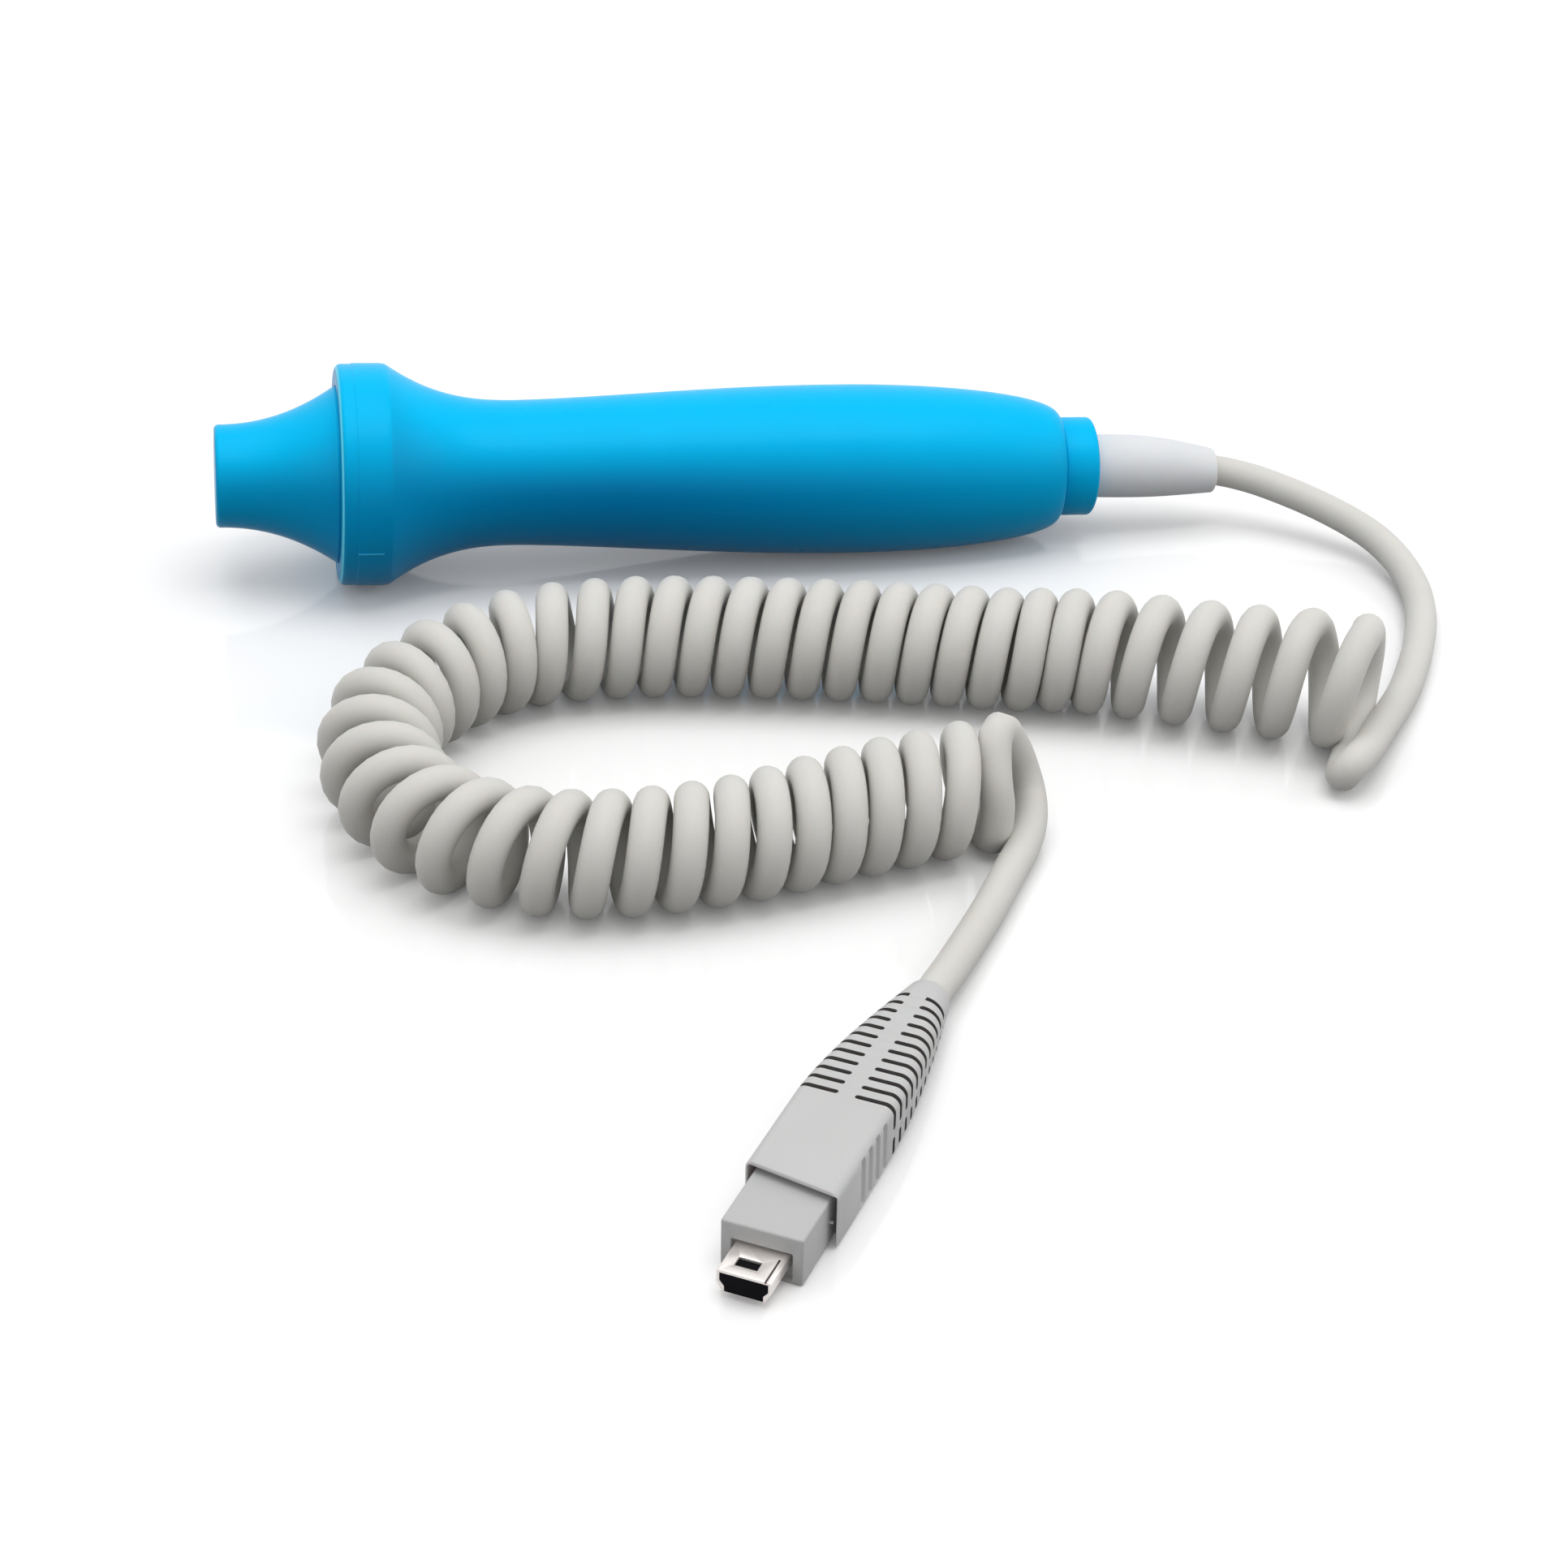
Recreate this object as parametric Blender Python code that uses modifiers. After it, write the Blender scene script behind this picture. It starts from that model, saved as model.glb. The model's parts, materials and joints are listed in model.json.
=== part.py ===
"""Hand-held ultrasound flow probe with its curly cord and five-way plug, lying as it is put down.

Units are metres and +Z is up. The probe's long axis runs from the nose at -X to the cord at +X.
The probe rests on the rear edge of its flange and on the belly of its handle, so the tail lies a
little lower than the nose. Its own pieces are modelled along a local Z axis that starts at the
nose face, and an empty lays that axis down. The plug has an empty of its own, with local +X
pointing out of its mouth.
"""

import math

import bmesh
import bpy
from mathutils import Euler, Matrix, Vector

# Fits between neighbouring pieces
FIT = 0.0003            # clearance between pieces that seat on each other
SEAL_FIT = 0.0001       # clearance of a seal in its groove

# Nose cone, which is pressed to the skin
NOSE_TIP_R = 0.0079
NOSE_BASE_R = 0.0135
NOSE_LENGTH = 0.0182    # from the face to where the cone enters the flange
NOSE_CURVE = 2.1        # power of the flare from tip to base
NOSE_EDGE = 0.0007
WINDOW_WALL = 0.0012    # thin front wall that the beam passes through
NOSE_POCKET_R = 0.0065
NOSE_POCKET_DEPTH = 0.0098
SPIGOT_R = 0.0124
SPIGOT_WALL = 0.0020
SPIGOT_LENGTH = 0.0088
NOSE_STEP = 0.0009      # how far the cone's base sinks into the flange

# Handle body with its flange, neck and belly
FLANGE_R = 0.0171
FLANGE_WIDTH = 0.0079
FLANGE_EDGE = 0.0012
NECK_R = 0.01125
NECK_AT = 0.0460
BELLY_R = 0.01327
BELLY_AT = 0.0980
TAIL_R = 0.0083
HANDLE_END = 0.1338
FLARE_POWER = 2.5       # how fast the flange thins into the neck
BELLY_POWER = 1.45      # how the neck swells into the belly
NECK_BORE_R = 0.00905
REAR_BORE_R = 0.0087
REAR_BORE_END = 0.1180
GLAND_BORE_R = 0.0062
GLAND_BORE_START = 0.1220

# Tail collar and moulded strain relief
COLLAR_R = 0.0078
COLLAR_LENGTH = 0.0041
COLLAR_EDGE = 0.0006
COLLAR_BORE_R = 0.0040
COLLAR_SPIGOT_LENGTH = 0.0100
RELIEF_BASE_R = 0.0050
RELIEF_TIP_R = 0.00345
RELIEF_LENGTH = 0.0214
RELIEF_SEAT_DEPTH = 0.0050
RELIEF_FLANGE_WIDTH = 0.0030
RELIEF_EDGE = 0.0004
RELIEF_BULGE = 0.00025  # how far the taper's sides swell
RELIEF_DROOP = 0.0007   # the cord's weight bends the tip down
RELIEF_SWAY = 0.0001    # and a little to the near side

# Seals: the groove's depth and width, and where they sit on their spigots
SEAL_DEPTH = 0.0012
REAR_SEAL_DEPTH = 0.0009
SEAL_WIDTH = 0.0018
FRONT_SEAL_BEHIND = 0.0052      # behind the flange's front face
REAR_SEAL_BEFORE = 0.0053       # in front of the collar's ring

# Transducer stack in the nose
CRYSTAL_R = 0.0054
CRYSTAL_THICK = 0.0005
DIVIDER_THICK = 0.0007
BACKING_THICK = 0.0055
CAN_WALL = 0.0004
CARRIER_BORE_R = 0.0022
CARRIER_FLANGE = 0.0024

# Circuit board and its two carriers
BOARD_HALF_WIDTH = 0.0070
BOARD_THICK = 0.0012
BOARD_START = 0.0410
BOARD_END = 0.1080
BOARD_DROP = 0.0015     # the board lies this far below the probe's axis
CARRIER_THICK = 0.0030
FRONT_CARRIER_AT = 0.0470
REAR_CARRIER_AT = 0.0930
CARRIER_WINDOW_W = 0.0100
CARRIER_WINDOW_H = 0.0050
LEAD_R = 0.00055
CONDUCTOR_R = 0.00045
CONDUCTOR_PITCH = 0.0014
CONDUCTOR_GATHER = 0.00096      # their pitch where they enter the jacket
HEADER_SIZE = (0.0034, 0.0080, 0.0045)
HEADER_FROM_END = 0.0050        # its middle, from the board's rear end

# Cord
CORD_R = 0.0024
CORD_END_R = 0.0019     # jacket stub inside the tail
CORD_END_LENGTH = 0.0070
CLAMP_WALL = 0.0007
CLAMP_LENGTH = 0.0040
COIL_R = 0.0091         # outer radius of the curly stretch

# Plug, along its own axis: x = 0 is the mouth of the moulded body
PLUG_AT = (-0.01838, -0.17199)
PLUG_TURN = math.radians(-121.47)
BOOT_LENGTH = 0.0482
BOOT_END_R = 0.00285
BOOT_EDGE = 0.0004
BOOT_DROOP = 0.00055    # the boot's end hangs this far below the body's axis
BODY_START = -0.0180
BODY_HALF_W = 0.0063
BODY_HALF_H = 0.0041
BODY_CORNER_R = 0.0013
MOUTH_SET_BACK = 0.0009 # the mouth's middle lies this far behind its right edge
MOUTH_SKEW = math.radians(9.0)
MOUTH_EDGE = 0.0003
SLOT_COUNT = 12
SLOT_PITCH = 0.00225
SLOT_WIDTH = 0.00078
SLOT_DEPTH = 0.0010
SLOT_FIRST = -0.0187
SPINE_HALF_W = 0.0011
SIDE_WEB = 0.0006       # half height of the web left along the side
GROOVE_COUNT = 4
GROOVE_PITCH = 0.0024
GROOVE_FIRST = -0.0083
GROOVE_WIDTH = 0.0008
GROOVE_DEPTH = 0.00035
GROOVE_HALF_H = 0.0027
BLOCK_HALF_W = 0.0052
BLOCK_HALF_H = 0.0031
BLOCK_REACH = 0.0080
BLOCK_DEPTH = 0.0060
BLOCK_DROP = 0.0004
MOUTH_CLEARANCE = 0.0006
MOUTH_DEPTH = 0.0020
TONGUE_HALF_W = 0.0034
TONGUE_HALF_H = 0.00155
TONGUE_REACH = 0.0053
TONGUE_WALL = 0.00035
TONGUE_DROP = 0.0013
TONGUE_NOTCH = 0.0006
WINDOW_HALF_W = 0.00135
WINDOW_LENGTH = 0.0016
WINDOW_FROM_MOUTH = 0.0015
WINDOW_OFFSET = 0.00045 # the window lies off the tongue's middle
TONGUE_SEAT_DEPTH = 0.0012
TONGUE_CLEARANCE = 0.0005
CORE_HALF_H = 0.00075
CORE_SET_BACK = 0.0006
CONTACT_COUNT = 5
CONTACT_PITCH = 0.0008
CONTACT_HALF_W = 0.00015
CONTACT_THICK = 0.00020

# Facets round the turned pieces
STEPS = 28
COLLAR_STEPS = 24
SMALL_STEPS = 18
RELIEF_STEPS = 20
TINY_STEPS = 16

# Free cord: centres of its hand-laid bends on the floor, and of the curly stretch
LEAD_ONE = [
    (0.0878, -0.0033, 0.0083), (0.0952, -0.0088, 0.0064), (0.1010, -0.0156, 0.0046),
    (0.1034, -0.0225, 0.0034), (0.1035, -0.0319, 0.0027), (0.1015, -0.0404, 0.0025),
    (0.0982, -0.0493, 0.0025), (0.0946, -0.0584, 0.0025), (0.0924, -0.0659, 0.0026),
    (0.0907, -0.0714, 0.0027), (0.0875, -0.0743, 0.0027),
]
COIL_ROUTE = [
    (0.0797, -0.0705), (0.0673, -0.0641), (0.0481, -0.0561), (0.0328, -0.0524),
    (0.0175, -0.0485), (0.0015, -0.0452), (-0.0148, -0.0424), (-0.0261, -0.0418),
    (-0.0384, -0.0434), (-0.0496, -0.0502), (-0.0580, -0.0618), (-0.0589, -0.0761),
    (-0.0531, -0.0890), (-0.0426, -0.0968), (-0.0310, -0.0996), (-0.0141, -0.0986),
    (0.0020, -0.0947), (0.0156, -0.0913), (0.0226, -0.0895),
]
LEAD_TWO = [
    (0.0272, -0.0884, 0.0084), (0.0293, -0.0896, 0.0058), (0.0298, -0.0930, 0.0035),
    (0.0282, -0.0980, 0.0027), (0.0241, -0.1045, 0.0026), (0.0192, -0.1115, 0.0028),
    (0.0146, -0.1184, 0.0032),
]


def clear_scene():
    """Remove whatever the new file holds."""
    for item in list(bpy.data.objects):
        bpy.data.objects.remove(item, do_unlink=True)


def collection(name):
    """Make a collection and link it to the scene."""
    group = bpy.data.collections.new(name)
    bpy.context.scene.collection.children.link(group)
    return group


def material(name, colour, roughness, metallic=0.0):
    """Make a Principled material with one colour."""
    made = bpy.data.materials.new(name)
    made.use_nodes = True
    shader = made.node_tree.nodes["Principled BSDF"]
    shader.inputs["Base Color"].default_value = (*colour, 1.0)
    shader.inputs["Roughness"].default_value = roughness
    shader.inputs["Metallic"].default_value = metallic
    made.diffuse_color = (*colour, 1.0)
    return made


class Workshop:
    """Makes the pieces, and keeps the collections, frames and finishes that they share."""

    def __init__(self):
        self.parts = collection("doppler_probe")
        self.cutters = collection("cutters")
        self.blue = material("blue_plastic", (0.01, 0.38, 0.66), 0.42)
        self.relief_grey = material("relief_grey", (0.62, 0.64, 0.66), 0.55)
        self.cord_grey = material("cord_grey", (0.58, 0.57, 0.54), 0.60)
        self.plug_grey = material("plug_grey", (0.55, 0.55, 0.55), 0.55)
        self.block_grey = material("block_grey", (0.50, 0.52, 0.53), 0.50)
        self.nickel = material("nickel", (0.66, 0.62, 0.58), 0.25, 1.0)
        self.black = material("black_plastic", (0.01, 0.01, 0.012), 0.45)
        self.gold = material("gold_plate", (0.83, 0.62, 0.25), 0.25, 1.0)
        self.ceramic = material("crystal_ceramic", (0.60, 0.52, 0.40), 0.45)
        self.absorber = material("absorber_resin", (0.10, 0.09, 0.08), 0.70)
        self.cork = material("cork_sheet", (0.42, 0.27, 0.14), 0.80)
        self.white = material("white_plastic", (0.80, 0.80, 0.77), 0.50)
        self.board_green = material("board_green", (0.02, 0.18, 0.07), 0.40)
        self.rubber = material("seal_rubber", (0.02, 0.02, 0.02), 0.65)
        self.copper = material("enamelled_copper", (0.50, 0.20, 0.08), 0.35, 1.0)

    def add(self, name, mesh, finish, frame=None, smooth=35.0):
        """Link a finished mesh as one named part."""
        part = bpy.data.objects.new(name, mesh)
        mesh.materials.append(finish)
        mesh.shade_smooth()
        mesh.set_sharp_from_angle(angle=math.radians(smooth))
        part.parent = frame
        self.parts.objects.link(part)
        return part

    def cutter(self, name, mesh, frame=None):
        """Link a mesh that only cuts others."""
        tool = bpy.data.objects.new(name, mesh)
        tool.parent = frame
        tool.hide_render = True
        tool.display_type = "WIRE"
        self.cutters.objects.link(tool)
        return tool


def cut(part, tool):
    """Take the tool's volume out of the part."""
    step = part.modifiers.new("cut_" + tool.name, "BOOLEAN")
    step.operation = "DIFFERENCE"
    step.solver = "EXACT"
    step.object = tool


def mesh_from(build):
    """Close a bmesh into mesh data with its faces pointing out."""
    bmesh.ops.recalc_face_normals(build, faces=build.faces)
    mesh = bpy.data.meshes.new("part")
    build.to_mesh(mesh)
    build.free()
    return mesh


def turned(shop, name, profile, finish, frame, steps=STEPS):
    """Turn a profile of (radius, z) pairs about local Z. It runs down the piece's outer side."""
    closed = profile[0][0] > 0.0
    mesh = bpy.data.meshes.new(name)
    edges = [(i, i + 1) for i in range(len(profile) - 1)]
    if closed:
        edges.append((len(profile) - 1, 0))
    mesh.from_pydata([(r, 0.0, z) for r, z in profile], edges, [])
    part = shop.add(name, mesh, finish, frame)
    screw = part.modifiers.new("turn", "SCREW")
    screw.axis = "Z"
    screw.angle = math.tau
    screw.steps = steps
    screw.render_steps = steps
    screw.use_merge_vertices = True
    screw.merge_threshold = 0.00001
    screw.use_smooth_shade = True
    return part


def block(size, centre, bevel=0.0, segments=1):
    """Make a box from low to high about a centre, with bevelled edges where asked."""
    build = bmesh.new()
    bmesh.ops.create_cube(build, size=1.0)
    bmesh.ops.scale(build, vec=Vector(size), verts=build.verts)
    bmesh.ops.translate(build, vec=Vector(centre), verts=build.verts)
    if bevel > 0.0:
        bmesh.ops.bevel(build, geom=list(build.edges), offset=bevel, segments=segments,
                        affect="EDGES", profile=0.5, material=-1)
    return mesh_from(build)


def smooth_route(points, samples):
    """Read evenly many points per span from a Catmull-Rom curve through hand-laid points."""
    spots = [Vector(p) for p in points]
    spots = [2.0 * spots[0] - spots[1]] + spots + [2.0 * spots[-1] - spots[-2]]
    route = []
    spans = len(spots) - 3
    for index in range(samples + 1):
        place = index * spans / samples
        span = min(int(place), spans - 1)
        t = place - span
        a, b, c, d = spots[span:span + 4]
        route.append(0.5 * ((2.0 * b) + (c - a) * t + (2.0 * a - 5.0 * b + 4.0 * c - d) * t * t
                            + (3.0 * b - a - 3.0 * c + d) * t ** 3))
    return route


def tube(shop, name, points, radius, finish, frame=None, resolution=2):
    """Lay a round wire or cord along points, with filled ends."""
    curve = bpy.data.curves.new(name, "CURVE")
    curve.dimensions = "3D"
    curve.bevel_depth = radius
    curve.bevel_resolution = resolution
    curve.use_fill_caps = True
    spline = curve.splines.new("POLY")
    spline.points.add(len(points) - 1)
    for spot, point in zip(spline.points, points):
        spot.co = (*point, 1.0)
    curve.materials.append(finish)
    part = bpy.data.objects.new(name, curve)
    part.parent = frame
    shop.parts.objects.link(part)
    return part


def arc(centre_r, centre_z, radius, start, end, count):
    """Points of an arc in the (radius, z) plane, with angles in degrees from +radius to +z."""
    points = []
    for index in range(count + 1):
        angle = math.radians(start + (end - start) * index / count)
        points.append((centre_r + radius * math.cos(angle), centre_z + radius * math.sin(angle)))
    return points


def handle_radius(z):
    """Outer radius of the handle at a distance from the nose face, behind the flange."""
    if z >= BELLY_AT:
        share = min((z - BELLY_AT) / (HANDLE_END - BELLY_AT), 1.0)
        return TAIL_R + (BELLY_R - TAIL_R) * math.sqrt(1.0 - share * share)
    if z >= NECK_AT:
        share = (z - NECK_AT) / (BELLY_AT - NECK_AT)
        return NECK_R + (BELLY_R - NECK_R) * math.sin(share * math.pi / 2.0) ** BELLY_POWER
    flange_end = NOSE_LENGTH + FLANGE_WIDTH
    share = (z - flange_end) / (NECK_AT - flange_end)
    return NECK_R + (FLANGE_R - NECK_R) * (1.0 - share) ** FLARE_POWER


def flange_bore_r():
    """Radius of the bore that takes the nose cone's spigot."""
    return SPIGOT_R + FIT


def front_seal_at():
    """Middle of the seal groove on the nose cone's spigot."""
    return NOSE_LENGTH + FRONT_SEAL_BEHIND


def rear_seal_at():
    """Middle of the seal groove on the collar's spigot."""
    return collar_start() - REAR_SEAL_BEFORE


def spigot_end():
    """Where the nose cone's spigot ends inside the handle."""
    return NOSE_LENGTH + SPIGOT_LENGTH


def bore_radius(z):
    """Radius of the handle's bore, which narrows evenly so that its core can be drawn out."""
    stations = [(spigot_end() + 4.0 * FIT, flange_bore_r()), (BOARD_START, NECK_BORE_R),
                (REAR_BORE_END, REAR_BORE_R), (GLAND_BORE_START, GLAND_BORE_R)]
    if z <= stations[0][0]:
        return stations[0][1]
    for (z0, r0), (z1, r1) in zip(stations, stations[1:]):
        if z <= z1:
            return r0 + (r1 - r0) * (z - z0) / (z1 - z0)
    return stations[-1][1]


def resting_tilt():
    """Tilt at which the flange's rear edge and the belly both touch the floor."""
    edge = NOSE_LENGTH + FLANGE_WIDTH
    low, high = 0.0, math.radians(20.0)
    for _ in range(50):
        tilt = 0.5 * (low + high)
        reach = max(z * math.sin(tilt) + handle_radius(z) * math.cos(tilt)
                    for z in [NECK_AT + (HANDLE_END - NECK_AT) * i / 400 for i in range(401)])
        if reach < edge * math.sin(tilt) + FLANGE_R * math.cos(tilt):
            low = tilt
        else:
            high = tilt
    return low


def lay_down(shop):
    """Make the probe's frame: local Z along the probe, local +X pointing down."""
    tilt = resting_tilt()
    height = (NOSE_LENGTH + FLANGE_WIDTH) * math.sin(tilt) + FLANGE_R * math.cos(tilt)
    tip = collar_end() + RELIEF_LENGTH
    low = -(NOSE_TIP_R - NOSE_EDGE) * math.sin(tilt)
    high = tip * math.cos(tilt) + (RELIEF_TIP_R - RELIEF_EDGE - RELIEF_DROOP) * math.sin(tilt)
    frame = bpy.data.objects.new("probe_axis", None)
    frame.rotation_euler = Euler((0.0, math.radians(90.0) + tilt, 0.0))
    frame.location = (-0.5 * (low + high), 0.0, height)
    shop.parts.objects.link(frame)
    return frame


def collar_start():
    """Front face of the tail collar's visible ring."""
    return HANDLE_END + FIT


def collar_end():
    """Rear face of the tail collar."""
    return collar_start() + COLLAR_LENGTH


def build_handle(shop, frame):
    """Handle body: flange, neck and belly in one moulding, with the drawn bore inside."""
    flange_end = NOSE_LENGTH + FLANGE_WIDTH
    profile = []
    for index in range(8):
        angle = math.radians(90.0 * (1.0 - index / 7.0))
        profile.append((TAIL_R + (BELLY_R - TAIL_R) * math.cos(angle),
                        BELLY_AT + (HANDLE_END - BELLY_AT) * math.sin(angle)))
    for index in range(1, 7):
        z = BELLY_AT + (NECK_AT - BELLY_AT) * index / 6.0
        profile.append((handle_radius(z), z))
    for index in range(1, 8):
        z = flange_end + (NECK_AT - flange_end) * (1.0 - index / 7.0) ** 1.6
        profile.append((handle_radius(z), z))
    front = NOSE_LENGTH + FIT
    profile += arc(FLANGE_R - FLANGE_EDGE, front + FLANGE_EDGE, FLANGE_EDGE, 0.0, -90.0, 3)
    seat_r = NOSE_BASE_R + FIT
    seat_z = NOSE_LENGTH + NOSE_STEP + FIT
    profile += [(seat_r, front), (seat_r, seat_z), (flange_bore_r(), seat_z)]
    profile += [(bore_radius(z), z) for z in (spigot_end() + 4.0 * FIT, BOARD_START,
                                               REAR_BORE_END, GLAND_BORE_START, HANDLE_END)]
    return turned(shop, "handle_body", profile, shop.blue, frame)


def build_nose(shop, frame):
    """Nose cone: thin window, flared cone, and the spigot with its seal groove."""
    back = spigot_end()
    inner_r = SPIGOT_R - SPIGOT_WALL
    pocket_end = WINDOW_WALL + NOSE_POCKET_DEPTH
    groove_r = SPIGOT_R - SEAL_DEPTH
    half = SEAL_WIDTH / 2.0
    profile = [(0.0, WINDOW_WALL), (NOSE_POCKET_R, WINDOW_WALL), (NOSE_POCKET_R, pocket_end),
               (inner_r, carrier_seat()), (inner_r, back), (SPIGOT_R, back),
               (SPIGOT_R, front_seal_at() + half), (groove_r, front_seal_at() + half),
               (groove_r, front_seal_at() - half), (SPIGOT_R, front_seal_at() - half),
               (SPIGOT_R, NOSE_LENGTH + NOSE_STEP), (NOSE_BASE_R, NOSE_LENGTH + NOSE_STEP)]
    for index in range(7):
        share = 1.0 - index / 6.0
        z = NOSE_EDGE + (NOSE_LENGTH - NOSE_EDGE) * share
        profile.append((NOSE_TIP_R + (NOSE_BASE_R - NOSE_TIP_R) * share ** NOSE_CURVE, z))
    profile += arc(NOSE_TIP_R - NOSE_EDGE, NOSE_EDGE, NOSE_EDGE, -30.0, -90.0, 2)
    profile.append((0.0, 0.0))
    return turned(shop, "nose_cone", profile, shop.blue, frame)


def carrier_seat():
    """Where the nose cavity's flare ends and the crystal carrier's flange seats."""
    return NOSE_LENGTH - 0.5 * CARRIER_FLANGE


def build_seal(shop, frame, name, at, groove_r, bore_r, steps):
    """Round rubber seal in its groove, as wide as the groove and the bore let it be."""
    thick = 0.5 * (bore_r - groove_r) - SEAL_FIT
    thick = min(thick, 0.5 * SEAL_WIDTH - SEAL_FIT)
    centre_r = groove_r + SEAL_FIT + thick
    profile = arc(centre_r, at, thick, 90.0, -210.0, 5)
    return turned(shop, name, profile, shop.rubber, frame, steps)


def half_disc(radius, thick, z, side):
    """D-shaped plate on one side of the divider, with its flat towards the middle."""
    flat = DIVIDER_THICK / 2.0 + FIT
    build = bmesh.new()
    start = math.asin(flat / radius)
    count = 12
    rim = []
    for index in range(count + 1):
        angle = start + (math.pi - 2.0 * start) * index / count
        rim.append((radius * math.cos(angle), side * radius * math.sin(angle)))
    verts = [build.verts.new((y, x, z)) for x, y in rim]
    face = build.faces.new(verts)
    grown = bmesh.ops.extrude_face_region(build, geom=[face])
    top = [item for item in grown["geom"] if isinstance(item, bmesh.types.BMVert)]
    bmesh.ops.translate(build, vec=(0.0, 0.0, thick), verts=top)
    return mesh_from(build)


def build_transducer(shop, frame):
    """Two half-disc crystals and their absorbers, the divider, the screening can and the carrier."""
    front = WINDOW_WALL + FIT
    behind = front + CRYSTAL_THICK + FIT
    for name, side in (("transmit", 1.0), ("receive", -1.0)):
        shop.add(name + "_crystal", half_disc(CRYSTAL_R, CRYSTAL_THICK, front, side),
                 shop.ceramic, frame)
        shop.add(name + "_backing", half_disc(CRYSTAL_R, BACKING_THICK, behind, side),
                 shop.absorber, frame)
    stack_end = behind + BACKING_THICK
    shop.add("crystal_divider",
             block((DIVIDER_THICK, 2.0 * CRYSTAL_R, stack_end - front),
                   (0.0, 0.0, 0.5 * (front + stack_end))), shop.cork, frame)
    can_out = NOSE_POCKET_R - FIT
    can_in = can_out - CAN_WALL
    turned(shop, "shield_can", [(can_in, stack_end), (can_out, stack_end), (can_out, front),
                                (can_in, front)], shop.nickel, frame, SMALL_STEPS)
    seat = carrier_seat()
    flange_r = SPIGOT_R - SPIGOT_WALL - FIT
    pocket_end = WINDOW_WALL + NOSE_POCKET_DEPTH
    carrier_front = stack_end + FIT
    flange_back = seat + CARRIER_FLANGE
    profile = [(CARRIER_BORE_R, flange_back), (flange_r, flange_back), (flange_r, seat + 2.0 * FIT),
               (can_out, pocket_end + FIT), (can_out, carrier_front),
               (CARRIER_BORE_R, carrier_front)]
    turned(shop, "crystal_carrier", profile, shop.white, frame, SMALL_STEPS)


def board_top():
    """Upper face of the circuit board, as a local x (up is -X)."""
    return BOARD_DROP - BOARD_THICK / 2.0


def build_board(shop, frame):
    """Circuit board, its two carriers and the pieces soldered to it."""
    length = BOARD_END - BOARD_START
    shop.add("circuit_board",
             block((BOARD_THICK, 2.0 * BOARD_HALF_WIDTH, length),
                   (BOARD_DROP, 0.0, BOARD_START + length / 2.0)), shop.board_green, frame)
    for name, at in (("front_carrier", FRONT_CARRIER_AT), ("rear_carrier", REAR_CARRIER_AT)):
        radius = bore_radius(at + CARRIER_THICK) - FIT
        edge = 0.0004
        profile = [(0.0, at + CARRIER_THICK), (radius - edge, at + CARRIER_THICK),
                   (radius, at + CARRIER_THICK - edge), (radius, at + edge),
                   (radius - edge, at), (0.0, at)]
        ring = turned(shop, name, profile, shop.white, frame, SMALL_STEPS)
        slot = shop.cutter(name + "_slot", block(
            (BOARD_THICK + 2.0 * FIT, 2.0 * (BOARD_HALF_WIDTH + FIT), 3.0 * CARRIER_THICK),
            (BOARD_DROP, 0.0, at + CARRIER_THICK / 2.0)), frame)
        window = shop.cutter(name + "_window", block(
            (CARRIER_WINDOW_H, CARRIER_WINDOW_W, 3.0 * CARRIER_THICK),
            (board_top() - CARRIER_WINDOW_H / 2.0 + FIT, 0.0, at + CARRIER_THICK / 2.0)), frame)
        cut(ring, slot)
        cut(ring, window)


def on_board(shop, frame, name, size, y, z, finish, bevel):
    """Seat a boxy component on the board. Its size is height, width, length."""
    centre = (board_top() - FIT - size[0] / 2.0, y, z)
    return shop.add(name, block(size, centre, bevel), finish, frame)


def upright(name, radius, height, waist, y, z, frame, shop, finish):
    """Drum on the board, with a waist where it is wound."""
    lip = 0.12 * height
    profile = [(0.0, height), (radius, height), (radius, height - lip), (waist, height - lip),
               (waist, lip), (radius, lip), (radius, 0.0), (0.0, 0.0)]
    part = turned(shop, name, profile, finish, frame, TINY_STEPS)
    part.rotation_euler = Euler((0.0, math.radians(-90.0), 0.0))
    part.location = (board_top() - FIT, y, z)
    return part


def build_components(shop, frame):
    """Chips, oscillator, coils, capacitor and the header that takes the cord's conductors."""
    on_board(shop, frame, "driver_chip", (0.0016, 0.0060, 0.0050), -0.0020, 0.0600, shop.black,
             0.0003)
    on_board(shop, frame, "preamp_chip", (0.0012, 0.0040, 0.0040), 0.0030, 0.0690, shop.black,
             0.0003)
    on_board(shop, frame, "oscillator_can", (0.0018, 0.0034, 0.0060), -0.0030, 0.0780, shop.nickel,
             0.0004)
    on_board(shop, frame, "wire_header", HEADER_SIZE, 0.0, header_at(), shop.white, 0.0003)
    upright("transmit_coil", 0.0023, 0.0034, 0.0017, -0.0030, 0.0540, frame, shop, shop.copper)
    upright("receive_coil", 0.0023, 0.0034, 0.0017, 0.0032, 0.0545, frame, shop, shop.copper)
    upright("filter_capacitor", 0.0025, 0.0048, 0.0023, 0.0025, 0.0860, frame, shop, shop.nickel)


def header_at():
    """Middle of the wire header along the board."""
    return BOARD_END - HEADER_FROM_END


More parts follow.
